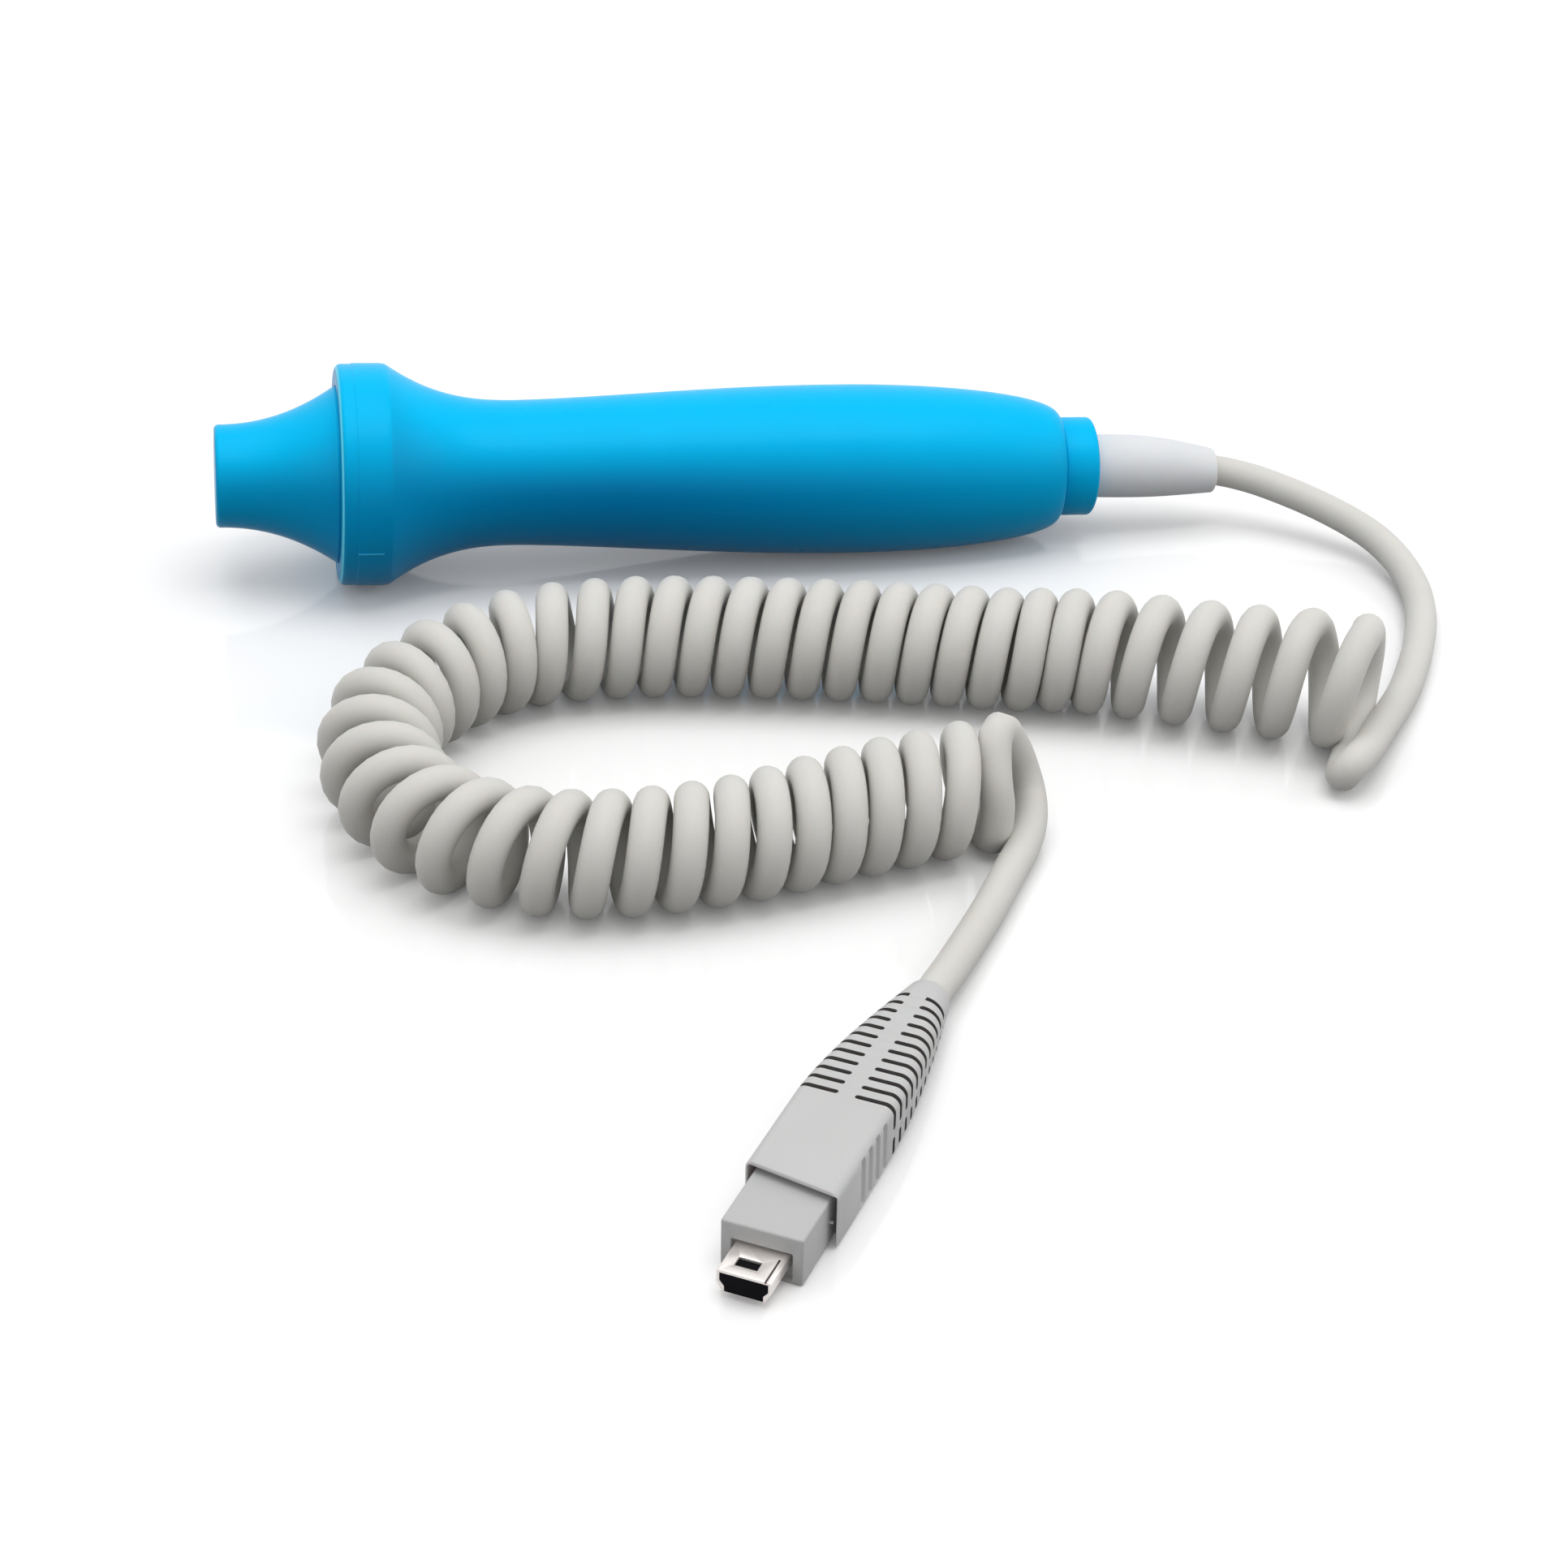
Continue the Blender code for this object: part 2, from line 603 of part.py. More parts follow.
def build_wires(shop, frame):
    """Leads from the crystals to the board, and the cord's conductors from board to clamp."""
    stack_end = WINDOW_WALL + 2.0 * FIT + CRYSTAL_THICK + BACKING_THICK
    start = stack_end + FIT
    carrier_back = carrier_seat() + CARRIER_FLANGE
    beside = CARRIER_BORE_R / 2.0
    above = board_top() - FIT - LEAD_R
    for name, side in (("transmit_lead", 1.0), ("receive_lead", -1.0)):
        route = [(side * beside, 0.0, start), (side * beside, 0.0, carrier_back),
                 (0.5 * above, side * 0.0020, 0.5 * (carrier_back + BOARD_START)),
                 (above, side * 0.0022, BOARD_START + 0.0010),
                 (above, side * 0.0022, BOARD_START + 0.0040)]
        tube(shop, name, smooth_route(route, 9), LEAD_R, shop.copper, frame)
    jacket_start = cord_end_start()
    header_back = header_at() + HEADER_SIZE[2] / 2.0 + FIT
    header_mid = board_top() - FIT - HEADER_SIZE[0] / 2.0
    for index in range(4):
        y = (index - 1.5) * CONDUCTOR_PITCH
        gather = (index - 1.5) * CONDUCTOR_GATHER
        route = [(header_mid, y, header_back), (header_mid, y, header_back + 0.0015),
                 (0.0, gather, jacket_start - 0.0015), (0.0, gather, jacket_start - FIT)]
        tube(shop, "conductor_" + str(index + 1), smooth_route(route, 5), CONDUCTOR_R,
             shop.copper, frame)


def rear_groove_r():
    """Bottom radius of the seal groove on the collar's spigot."""
    return GLAND_BORE_R - FIT - REAR_SEAL_DEPTH


def collar_front():
    """Front end of the collar's spigot."""
    return collar_start() - COLLAR_SPIGOT_LENGTH


def relief_front():
    """Front end of the strain relief's retaining flange."""
    return collar_front() - FIT - RELIEF_FLANGE_WIDTH


def cord_end_start():
    """Front end of the jacket stub that the clamp grips."""
    return relief_front() - FIT - CORD_END_LENGTH


def build_tail(shop, frame):
    """Tail collar, strain relief, jacket stub and its clamp."""
    spigot_r = GLAND_BORE_R - FIT
    groove_r = rear_groove_r()
    half = SEAL_WIDTH / 2.0
    seat = collar_end() - RELIEF_SEAT_DEPTH
    seat_r = RELIEF_BASE_R + FIT
    end = collar_end()
    profile = [(seat_r, seat), (seat_r, end), (COLLAR_R - COLLAR_EDGE, end)]
    profile += arc(COLLAR_R - COLLAR_EDGE, end - COLLAR_EDGE, COLLAR_EDGE, 60.0, 0.0, 2)
    profile += [(COLLAR_R, collar_start()), (spigot_r, collar_start()),
                (spigot_r, rear_seal_at() + half), (groove_r, rear_seal_at() + half),
                (groove_r, rear_seal_at() - half), (spigot_r, rear_seal_at() - half),
                (spigot_r, collar_front()), (COLLAR_BORE_R, collar_front()),
                (COLLAR_BORE_R, seat)]
    turned(shop, "tail_collar", profile, shop.blue, frame, COLLAR_STEPS)
    build_relief(shop, frame, seat)
    stub_r = CORD_END_R
    start = cord_end_start()
    back = relief_front() - FIT
    turned(shop, "cord_jacket_end", [(0.0, back), (stub_r, back), (stub_r, start), (0.0, start)],
           shop.cord_grey, frame, SMALL_STEPS)
    ring_in = stub_r + FIT
    ring_out = ring_in + CLAMP_WALL
    high = back - 0.0006
    turned(shop, "cord_clamp", [(ring_in, high), (ring_out, high), (ring_out, high - CLAMP_LENGTH),
                                (ring_in, high - CLAMP_LENGTH)], shop.nickel, frame, SMALL_STEPS)


def relief_lean(z):
    """Sideways shift of the strain relief at z, as (down, towards +Y)."""
    share = max(0.0, (z - collar_end()) / RELIEF_LENGTH)
    return RELIEF_DROOP * share * share, -RELIEF_SWAY * share * share


def build_relief(shop, frame, seat):
    """Moulded strain relief: tapered sleeve bent by the cord, root in the collar, flange behind."""
    base = collar_end()
    tip = base + RELIEF_LENGTH
    rings = [(RELIEF_TIP_R - RELIEF_EDGE, tip), (RELIEF_TIP_R, tip - RELIEF_EDGE)]
    for index in range(1, 6):
        share = index / 5.0
        swell = RELIEF_BULGE * math.sin(math.pi * share)
        rings.append((RELIEF_TIP_R + (RELIEF_BASE_R - RELIEF_TIP_R) * share + swell,
                      tip - RELIEF_EDGE + (base - tip + RELIEF_EDGE) * share))
    neck_r = COLLAR_BORE_R - FIT
    flange_r = GLAND_BORE_R - 2.0 * FIT
    rings += [(RELIEF_BASE_R, seat + FIT), (neck_r, seat + FIT), (neck_r, collar_front() - FIT),
              (flange_r, collar_front() - FIT), (flange_r, relief_front())]
    build = bmesh.new()
    loops = []
    for radius, z in rings:
        down, across = relief_lean(z)
        loop = []
        for index in range(RELIEF_STEPS):
            angle = math.tau * index / RELIEF_STEPS
            loop.append(build.verts.new((down + radius * math.cos(angle),
                                         across + radius * math.sin(angle), z)))
        loops.append(loop)
    for one, two in zip(loops, loops[1:]):
        for index in range(RELIEF_STEPS):
            nxt = (index + 1) % RELIEF_STEPS
            build.faces.new((one[index], two[index], two[nxt], one[nxt]))
    build.faces.new(loops[0])
    build.faces.new(list(reversed(loops[-1])))
    shop.add("strain_relief", mesh_from(build), shop.relief_grey, frame)


def relief_tip(frame):
    """Centre of the relief's end and the direction in which the cord leaves it."""
    tip = collar_end() + RELIEF_LENGTH
    down, across = relief_lean(tip)
    lean = Vector((2.0 * down / RELIEF_LENGTH, 2.0 * across / RELIEF_LENGTH, 1.0)).normalized()
    place = frame.matrix_world @ Vector((down, across, tip))
    return place, frame.matrix_world.to_3x3() @ lean


def build_cord(shop, frame, plug):
    """Straight lead from the probe, curly stretch as one fat tube, and straight lead to the plug."""
    place, heading = relief_tip(frame)
    start = place + heading * 2.0 * FIT
    coil = smooth_route([(x, y, COIL_R + 0.5 * FIT) for x, y in COIL_ROUTE], 30)
    first_out = (coil[0] - coil[1]).normalized()
    last_out = (coil[-1] - coil[-2]).normalized()
    drop = Vector((0.0, 0.0, CORD_R + FIT - coil[0].z))
    meet = coil[0] + drop + first_out * FIT
    lead = [start, start + heading * 0.003] + [Vector(p) for p in LEAD_ONE]
    lead += [meet + first_out * 0.003, meet]
    tube(shop, "lead_probe_end", smooth_route(lead, 26), CORD_R, shop.cord_grey)
    tube(shop, "cord_coil", coil, COIL_R, shop.cord_grey, resolution=4)
    leave = coil[-1] + last_out * 1.5 * FIT
    boot_back = plug.matrix_world @ Vector((-BOOT_LENGTH - FIT, 0.0, -BOOT_DROOP))
    boot_heading = plug.matrix_world.to_3x3() @ Vector((-1.0, 0.0, 0.0))
    lead = [leave, leave + last_out * 0.002] + [Vector(p) for p in LEAD_TWO]
    lead += [boot_back + boot_heading * 0.004, boot_back]
    tube(shop, "lead_plug_end", smooth_route(lead, 20), CORD_R, shop.cord_grey)


def plug_frame(shop):
    """Make the plug's frame: local +X out of its mouth, with the moulded body on the floor."""
    frame = bpy.data.objects.new("plug_axis", None)
    frame.rotation_euler = Euler((0.0, 0.0, PLUG_TURN))
    frame.location = (*PLUG_AT, BODY_HALF_H)
    shop.parts.objects.link(frame)
    return frame


def boot_section(x):
    """Half width, half height, corner radius and droop of the moulded boot and body at x."""
    share = min(max((x + BOOT_LENGTH) / (BODY_START + BOOT_LENGTH), 0.0), 1.0)
    half_w = BOOT_END_R + (BODY_HALF_W - BOOT_END_R) * math.sin(share * math.pi / 2.0) ** 1.05
    half_h = BOOT_END_R + (BODY_HALF_H - BOOT_END_R) * share
    corner = BOOT_END_R + (BODY_CORNER_R - BOOT_END_R) * share ** 0.8
    return half_w, half_h, corner, BOOT_DROOP * (1.0 - share) ** 1.3


def corner_ring(half_w, half_h, corner, arcs):
    """Rounded rectangle as (y, z) points, as many at every station of a loft."""
    radius = min(corner, half_w - MOUTH_EDGE / 2.0, half_h - MOUTH_EDGE / 2.0)
    points = []
    for turn, (side, over) in enumerate(((1, 1), (-1, 1), (-1, -1), (1, -1))):
        for index in range(arcs + 1):
            angle = (turn + index / arcs) * math.pi / 2.0
            points.append((side * (half_w - radius) + radius * math.cos(angle),
                           over * (half_h - radius) + radius * math.sin(angle)))
    return points


def loft(stations, arcs=5):
    """Skin a row of rounded sections, each (x, half width, half height, corner, droop, skew)."""
    build = bmesh.new()
    rings = []
    for x, half_w, half_h, corner, droop, skew in stations:
        rings.append([build.verts.new((x + y * math.tan(skew), y, z - droop))
                      for y, z in corner_ring(half_w, half_h, corner, arcs)])
    count = len(rings[0])
    for one, two in zip(rings, rings[1:]):
        for index in range(count):
            nxt = (index + 1) % count
            build.faces.new((one[index], one[nxt], two[nxt], two[index]))
    build.faces.new(rings[0])
    build.faces.new(list(reversed(rings[-1])))
    return mesh_from(build)


def edge_path(x, grow, count):
    """Points over the boot's rounded edge from its side web to its spine, grown outwards."""
    half_w, half_h, corner, droop = boot_section(x)
    flat_w, flat_h = half_w - corner, half_h - corner
    grow = max(grow, -0.85 * corner)
    radius = corner + grow
    first, last = 0.0, math.pi / 2.0
    start, end = [], []
    if SIDE_WEB < flat_h:
        start = [(half_w + grow, SIDE_WEB)]
    else:
        first = math.asin(min((SIDE_WEB - flat_h) / radius, 0.9))
    if SPINE_HALF_W < flat_w:
        end = [(SPINE_HALF_W, half_h + grow)]
    else:
        last = math.acos(min((SPINE_HALF_W - flat_w) / radius, 0.9))
    steps = count - len(start) - len(end)
    rounded = []
    for index in range(steps + 1):
        angle = first + (last - first) * index / steps
        rounded.append((flat_w + radius * math.cos(angle), flat_h + radius * math.sin(angle)))
    return start + rounded + end, droop


def slot_cutter(build, x, over, side):
    """Curved slab that cuts one slot from the spine, round the edge and down to the side's web."""
    count = 5
    rings = []
    for grow in (-SLOT_DEPTH, 2.0 * SLOT_DEPTH):
        path, droop = edge_path(x, grow, count)
        rings.append([(side * y, over * z - droop) for y, z in path])
    low, high = x - SLOT_WIDTH / 2.0, x + SLOT_WIDTH / 2.0
    outline = rings[0] + list(reversed(rings[1]))
    bottom = [build.verts.new((low, y, z)) for y, z in outline]
    top = [build.verts.new((high, y, z)) for y, z in outline]
    total = len(outline)
    for index in range(count):
        far = total - 1 - index
        build.faces.new((bottom[index], bottom[index + 1], bottom[far - 1], bottom[far]))
        build.faces.new((top[index], top[far], top[far - 1], top[index + 1]))
    for index in range(total):
        nxt = (index + 1) % total
        build.faces.new((bottom[index], top[index], top[nxt], bottom[nxt]))


def build_boot(shop, plug):
    """Moulded boot and body in one piece, with two rows of slots, side grooves and a mouth."""
    stations = []
    taper = 6
    half_w, half_h, corner, droop = boot_section(-BOOT_LENGTH)
    stations.append((-BOOT_LENGTH, half_w - BOOT_EDGE, half_h - BOOT_EDGE, corner, droop, 0.0))
    for index in range(taper + 1):
        x = -BOOT_LENGTH + BOOT_EDGE + (BODY_START + BOOT_LENGTH - BOOT_EDGE) * index / taper
        stations.append((x, *boot_section(x), 0.0))
    front = -MOUTH_SET_BACK
    stations.append((front - MOUTH_EDGE, BODY_HALF_W, BODY_HALF_H, BODY_CORNER_R, 0.0, MOUTH_SKEW))
    stations.append((front, BODY_HALF_W - MOUTH_EDGE, BODY_HALF_H - MOUTH_EDGE, BODY_CORNER_R,
                     0.0, MOUTH_SKEW))
    boot = shop.add("plug_boot", loft(stations), shop.plug_grey, plug, smooth=40.0)
    slots = bmesh.new()
    for index in range(SLOT_COUNT):
        for over in (1.0, -1.0):
            for side in (1.0, -1.0):
                slot_cutter(slots, SLOT_FIRST - SLOT_PITCH * index, over, side)
    cut(boot, shop.cutter("boot_slots", mesh_from(slots), plug))
    grooves = bmesh.new()
    for index in range(GROOVE_COUNT):
        for side in (1.0, -1.0):
            made = bmesh.ops.create_cube(grooves, size=1.0)["verts"]
            bmesh.ops.scale(grooves, vec=(GROOVE_WIDTH, 2.0 * GROOVE_DEPTH, 2.0 * GROOVE_HALF_H),
                            verts=made)
            bmesh.ops.translate(grooves, vec=(GROOVE_FIRST - GROOVE_PITCH * index,
                                              side * BODY_HALF_W, 0.0), verts=made)
    cut(boot, shop.cutter("side_grooves", mesh_from(grooves), plug))
    pocket = block((2.0 * BLOCK_DEPTH, 2.0 * (BLOCK_HALF_W + FIT), 2.0 * (BLOCK_HALF_H + FIT)),
                   (0.0, 0.0, -BLOCK_DROP))
    cut(boot, shop.cutter("block_pocket", pocket, plug))
    mouth = block((2.0 * MOUTH_DEPTH, 2.0 * (BLOCK_HALF_W + MOUTH_CLEARANCE),
                   2.0 * (BLOCK_HALF_H + MOUTH_CLEARANCE)), (front, 0.0, -BLOCK_DROP))
    for vert in mouth.vertices:
        vert.co.x += vert.co.y * math.tan(MOUTH_SKEW)
    cut(boot, shop.cutter("body_mouth", mouth, plug))


def build_plug_front(shop, plug):
    """Front block, metal tongue with its keyed mouth and window, insulator and contacts."""
    back = -BLOCK_DEPTH + FIT
    length = BLOCK_REACH - back
    body = block((length, 2.0 * BLOCK_HALF_W, 2.0 * BLOCK_HALF_H),
                 (back + length / 2.0, 0.0, -BLOCK_DROP), 0.0003)
    front = shop.add("plug_front_block", body, shop.block_grey, plug)
    low = -BLOCK_DROP - TONGUE_DROP
    recess = block((2.0 * TONGUE_SEAT_DEPTH, 2.0 * (TONGUE_HALF_W + TONGUE_CLEARANCE),
                    2.0 * (TONGUE_HALF_H + TONGUE_CLEARANCE)), (BLOCK_REACH, 0.0, low))
    cut(front, shop.cutter("tongue_recess", recess, plug))
    start = BLOCK_REACH - TONGUE_SEAT_DEPTH + FIT
    end = BLOCK_REACH + TONGUE_REACH
    tongue = shop.add("plug_tongue", keyed_bar(start, end, 0.0, low), shop.nickel, plug)
    hollow = keyed_bar(start - 0.002, end + 0.002, TONGUE_WALL, low)
    cut(tongue, shop.cutter("tongue_hollow", hollow, plug))
    window_end = end - WINDOW_FROM_MOUTH
    window = block((WINDOW_LENGTH, 2.0 * WINDOW_HALF_W, TONGUE_HALF_H),
                   (window_end - WINDOW_LENGTH / 2.0, -WINDOW_OFFSET, low + TONGUE_HALF_H))
    cut(tongue, shop.cutter("tongue_window", window, plug))
    inset = TONGUE_WALL + FIT * 0.5
    core_end = end - CORE_SET_BACK
    core_z = low + TONGUE_HALF_H - inset - CORE_HALF_H
    core_half_w = TONGUE_HALF_W - inset - 0.0003
    shop.add("plug_insulator", block((core_end - start, 2.0 * core_half_w, 2.0 * CORE_HALF_H),
                                     (0.5 * (start + core_end), 0.0, core_z)), shop.black, plug)
    contact_z = core_z - CORE_HALF_H - SEAL_FIT / 2.0 - CONTACT_THICK / 2.0
    for index in range(CONTACT_COUNT):
        y = (index - (CONTACT_COUNT - 1) / 2.0) * CONTACT_PITCH
        shop.add("plug_contact_" + str(index + 1),
                 block((core_end - start - 0.0008, 2.0 * CONTACT_HALF_W, CONTACT_THICK),
                       (0.5 * (start + core_end), y, contact_z)), shop.gold, plug)


def keyed_bar(start, end, wall, z):
    """Bar of the keyed plug section: a rectangle whose lower corners are stepped in."""
    w = TONGUE_HALF_W - wall
    h = TONGUE_HALF_H - wall
    notch = TONGUE_NOTCH
    outline = [(w, h), (w, -h + 2.0 * notch), (w - notch, -h + notch), (w - notch, -h)]
    outline += [(-y, height) for y, height in reversed(outline)]
    build = bmesh.new()
    face = build.faces.new([build.verts.new((start, y, height + z)) for y, height in outline])
    grown = bmesh.ops.extrude_face_region(build, geom=[face])
    top = [item for item in grown["geom"] if isinstance(item, bmesh.types.BMVert)]
    bmesh.ops.translate(build, vec=(end - start, 0.0, 0.0), verts=top)
    return mesh_from(build)


def main():
    """Build the probe, its plug and the cord between them."""
    clear_scene()
    shop = Workshop()
    probe = lay_down(shop)
    plug = plug_frame(shop)
    bpy.context.view_layer.update()
    build_nose(shop, probe)
    build_handle(shop, probe)
    build_seal(shop, probe, "front_seal", front_seal_at(), SPIGOT_R - SEAL_DEPTH,
               flange_bore_r(), STEPS)
    build_seal(shop, probe, "rear_seal", rear_seal_at(), rear_groove_r(), GLAND_BORE_R,
               COLLAR_STEPS)
    build_transducer(shop, probe)
    build_board(shop, probe)
    build_components(shop, probe)
    build_wires(shop, probe)
    build_tail(shop, probe)
    build_boot(shop, plug)
    build_plug_front(shop, plug)
    build_cord(shop, probe, plug)


main()
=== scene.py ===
"""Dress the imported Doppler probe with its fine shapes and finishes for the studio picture."""

from __future__ import annotations

import json
import logging
import math
from dataclasses import dataclass, field
from enum import Enum

import bmesh
import bpy
from mathutils import Euler, Matrix, Vector

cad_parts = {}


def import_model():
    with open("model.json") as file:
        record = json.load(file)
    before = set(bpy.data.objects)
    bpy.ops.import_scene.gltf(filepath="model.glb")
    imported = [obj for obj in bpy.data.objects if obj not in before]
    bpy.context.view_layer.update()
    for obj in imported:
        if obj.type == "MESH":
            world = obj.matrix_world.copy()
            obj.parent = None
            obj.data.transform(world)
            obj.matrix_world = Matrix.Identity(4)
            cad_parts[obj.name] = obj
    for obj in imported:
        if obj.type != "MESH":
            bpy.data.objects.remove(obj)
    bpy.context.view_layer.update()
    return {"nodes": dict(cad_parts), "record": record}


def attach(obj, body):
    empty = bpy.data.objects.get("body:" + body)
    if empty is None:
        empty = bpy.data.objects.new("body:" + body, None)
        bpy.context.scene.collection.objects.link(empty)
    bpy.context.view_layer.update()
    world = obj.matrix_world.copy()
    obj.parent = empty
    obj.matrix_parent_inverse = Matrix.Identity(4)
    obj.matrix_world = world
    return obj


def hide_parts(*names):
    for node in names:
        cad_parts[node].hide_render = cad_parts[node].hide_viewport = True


LOG = logging.getLogger("doppler_probe")
MM = 0.001
PHOTO_SIDE = 1932
# painted shade: near black on walls inside recesses
RECESS_SHADE_MARK = "painted_recess_shade"
# painted shade: the blue darkens where the surface turns away from above
UNDER_SHADE_MARK = "painted_underside_shade"
# painted highlight: lighter cyan on the flange's front rim and parting ridge
EDGE_HIGHLIGHT_MARK = "painted_edge_highlight"
QUARTER = math.pi / 2.0
Pair = tuple[float, float]
Triple = tuple[float, float, float]
Build = bmesh.types.BMesh
Mesh = bpy.types.Mesh
Piece = bpy.types.Object
Node = bpy.types.Node
Socket = bpy.types.NodeSocket
Tree = bpy.types.NodeTree


class Surface(Enum):
    """How far a finish's grain is stretched along each axis."""

    MOULDED = (1.0, 1.0, 1.0)
    PLATED = (1.0, 1.0, 0.12)


class NodeSheet:
    """Short way to lay and link the nodes of one tree."""

    def __init__(self, tree: Tree) -> None:
        """Keep the tree."""
        self.tree = tree

    def wire(self, value: object, socket: Socket) -> None:
        """Give a socket a plain value, another socket or a node's first output.

        Args:
            value: What to give it.
            socket: The input socket.
        """
        if isinstance(value, Node):
            value = value.outputs[0]
        if isinstance(value, Socket):
            self.tree.links.new(value, socket)
        else:
            socket.default_value = value

    def fill(self, node: Node, *ordered: object, **named: object) -> Node:
        """Set a node's properties and sockets.

        Args:
            node: The node.
            *ordered: Values of its first sockets.
            **named: Values by socket name with spaces as underscores, or by property name,
                which starts with a small letter.

        Returns:
            The node.
        """
        for name, value in named.items():
            if name[0].islower():
                setattr(node, name, value)
        for index, value in enumerate(ordered):
            self.wire(value, node.inputs[index])
        for name, value in named.items():
            if not name[0].islower():
                self.wire(value, node.inputs[name.replace("_", " ")])
        return node

    def add(self, kind: str, *ordered: object, **named: object) -> Node:
        """Lay and fill one node, whose type's name is given without its start."""
        return self.fill(self.tree.nodes.new(f"ShaderNode{kind}"), *ordered, **named)

    def maths(self, operation: str, *values: object) -> Socket:
        """Lay a Math node and give its output."""
        return self.add("Math", *values, operation=operation).outputs[0]

    def mix(self, share: object, one: object, two: object) -> Socket:
        """Lay a Mix node for colours.

        Args:
            share: How much of the second colour.
            one: The first colour.
            two: The second colour.

        Returns:
            The mixed colour.
        """
        node = self.add("Mix", share, data_type="RGBA")
        self.wire(one, node.inputs[6])
        self.wire(two, node.inputs[7])
        return node.outputs[2]


class GroupKit:
    """The node groups that several finishes share."""

    def __init__(self) -> None:
        """Build each group once."""
        self.tint = self._tint()
        self.grain = self._grain()

    def _start(self, name: str, takes: dict[str, str],
               gives: dict[str, str]) -> tuple[NodeSheet, object, Node]:
        """Start a group.

        Args:
            name: The group's name.
            takes: Its inputs' names and kinds.
            gives: Its outputs' names and kinds.

        Returns:
            Its sheet, the sockets that bring what it takes, and its output node.
        """
        tree = bpy.data.node_groups.new(name, "ShaderNodeTree")
        for way, sockets in (("INPUT", takes), ("OUTPUT", gives)):
            for label, kind in sockets.items():
                tree.interface.new_socket(label, in_out=way, socket_type=f"NodeSocket{kind}")
        given = tree.nodes.new("NodeGroupInput").outputs
        return NodeSheet(tree), given, tree.nodes.new("NodeGroupOutput")

    def _tint(self) -> Tree:
        """Group that varies a colour in soft cloudy patches.

        Returns:
            Its tree.
        """
        sheet, given, out = self._start(
            "cloudy_tint", {"Vector": "Vector", "Colour": "Color", "Shift": "Color",
                            "Scale": "Float"}, {"Colour": "Color", "Mask": "Float"})
        cloud = sheet.add("TexNoise", Vector=given["Vector"], Scale=given["Scale"],
                          Detail=4.0, Roughness=0.6)
        mask = sheet.add("MapRange", Value=cloud, From_Min=0.3, From_Max=0.7)
        sheet.fill(out, sheet.mix(mask, given["Colour"], given["Shift"]), mask)
        return sheet.tree

    def _grain(self) -> Tree:
        """Group that gives a mould's spark-eroded grain as a height and a roughness.

        Returns:
            Its tree.
        """
        sheet, given, out = self._start(
            "mould_grain", {"Vector": "Vector", "Scale": "Float", "Roughness": "Float",
                            "Spread": "Float"}, {"Height": "Float", "Roughness": "Float"})
        fine = sheet.add("TexNoise", Vector=given["Vector"], Scale=given["Scale"],
                         Detail=3.0, Roughness=0.55)
        broad = sheet.add("TexNoise", Vector=given["Vector"], Detail=2.0,
                          Scale=sheet.maths("MULTIPLY", given["Scale"], 0.07))
        swing = sheet.maths("MULTIPLY", sheet.maths("SUBTRACT", broad, 0.5), given["Spread"])
        sheet.fill(out, sheet.maths("ADD", fine, sheet.maths("MULTIPLY", broad, 0.8)),
                   sheet.maths("ADD", given["Roughness"], swing))
        return sheet.tree


@dataclass(frozen=True)
class Finish:
    """One material: its colours, how it is textured, and how it takes light."""

    name: str
    colour: Triple
    shift: Triple
    roughness: float
    surface: Surface = Surface.MOULDED
    metallic: float = 0.0
    grain: float = 5200.0       # grains to the metre
    relief: float = 0.00001     # depth of the grain in metres
    spread: float = 0.12        # how far the roughness swings
    patches: float = 90.0       # cloudy patches to the metre
    glow: float = 0.0           # light that spreads inside the plastic
    glow_reach: float = 0.0012
    specular: float = 0.5
    painted_light: tuple[tuple[str, Triple], ...] = ()      # painted shade and painted highlight: colours that marked places turn to

    def make(self, kit: GroupKit) -> bpy.types.Material:
        """Build the material.

        Args:
            kit: The shared node groups.

        Returns:
            The material.
        """
        made = bpy.data.materials.new(self.name)
        made.use_nodes = True
        made.diffuse_color = (*self.colour, 1.0)
        sheet = NodeSheet(made.node_tree)
        place = sheet.add("TexCoord").outputs["Object"]
        turned = sheet.add("Mapping", Vector=place, Scale=self.surface.value)
        tint = sheet.add("Group", node_tree=kit.tint, Vector=turned, Scale=self.patches,
                         Colour=(*self.colour, 1.0), Shift=(*self.shift, 1.0))
        colour = tint.outputs["Colour"]
        # painted shade and painted highlight where the marks say
        for mark, tone in self.painted_light:
            share = sheet.add("Attribute", attribute_name=mark).outputs["Fac"]
            colour = sheet.mix(share, colour, (*tone, 1.0))
        skin = sheet.add("Group", node_tree=kit.grain, Vector=turned, Scale=self.grain,
                         Roughness=self.roughness, Spread=self.spread)
        bump = sheet.add("Bump", Height=skin.outputs["Height"], Distance=self.relief,
                         Strength=1.0)
        sheet.fill(sheet.tree.nodes["Principled BSDF"], Base_Color=colour,
                   Roughness=skin.outputs["Roughness"], Normal=bump, Metallic=self.metallic,
                   Specular_IOR_Level=self.specular, Subsurface_Weight=self.glow,
                   Subsurface_Scale=self.glow_reach)
        return made


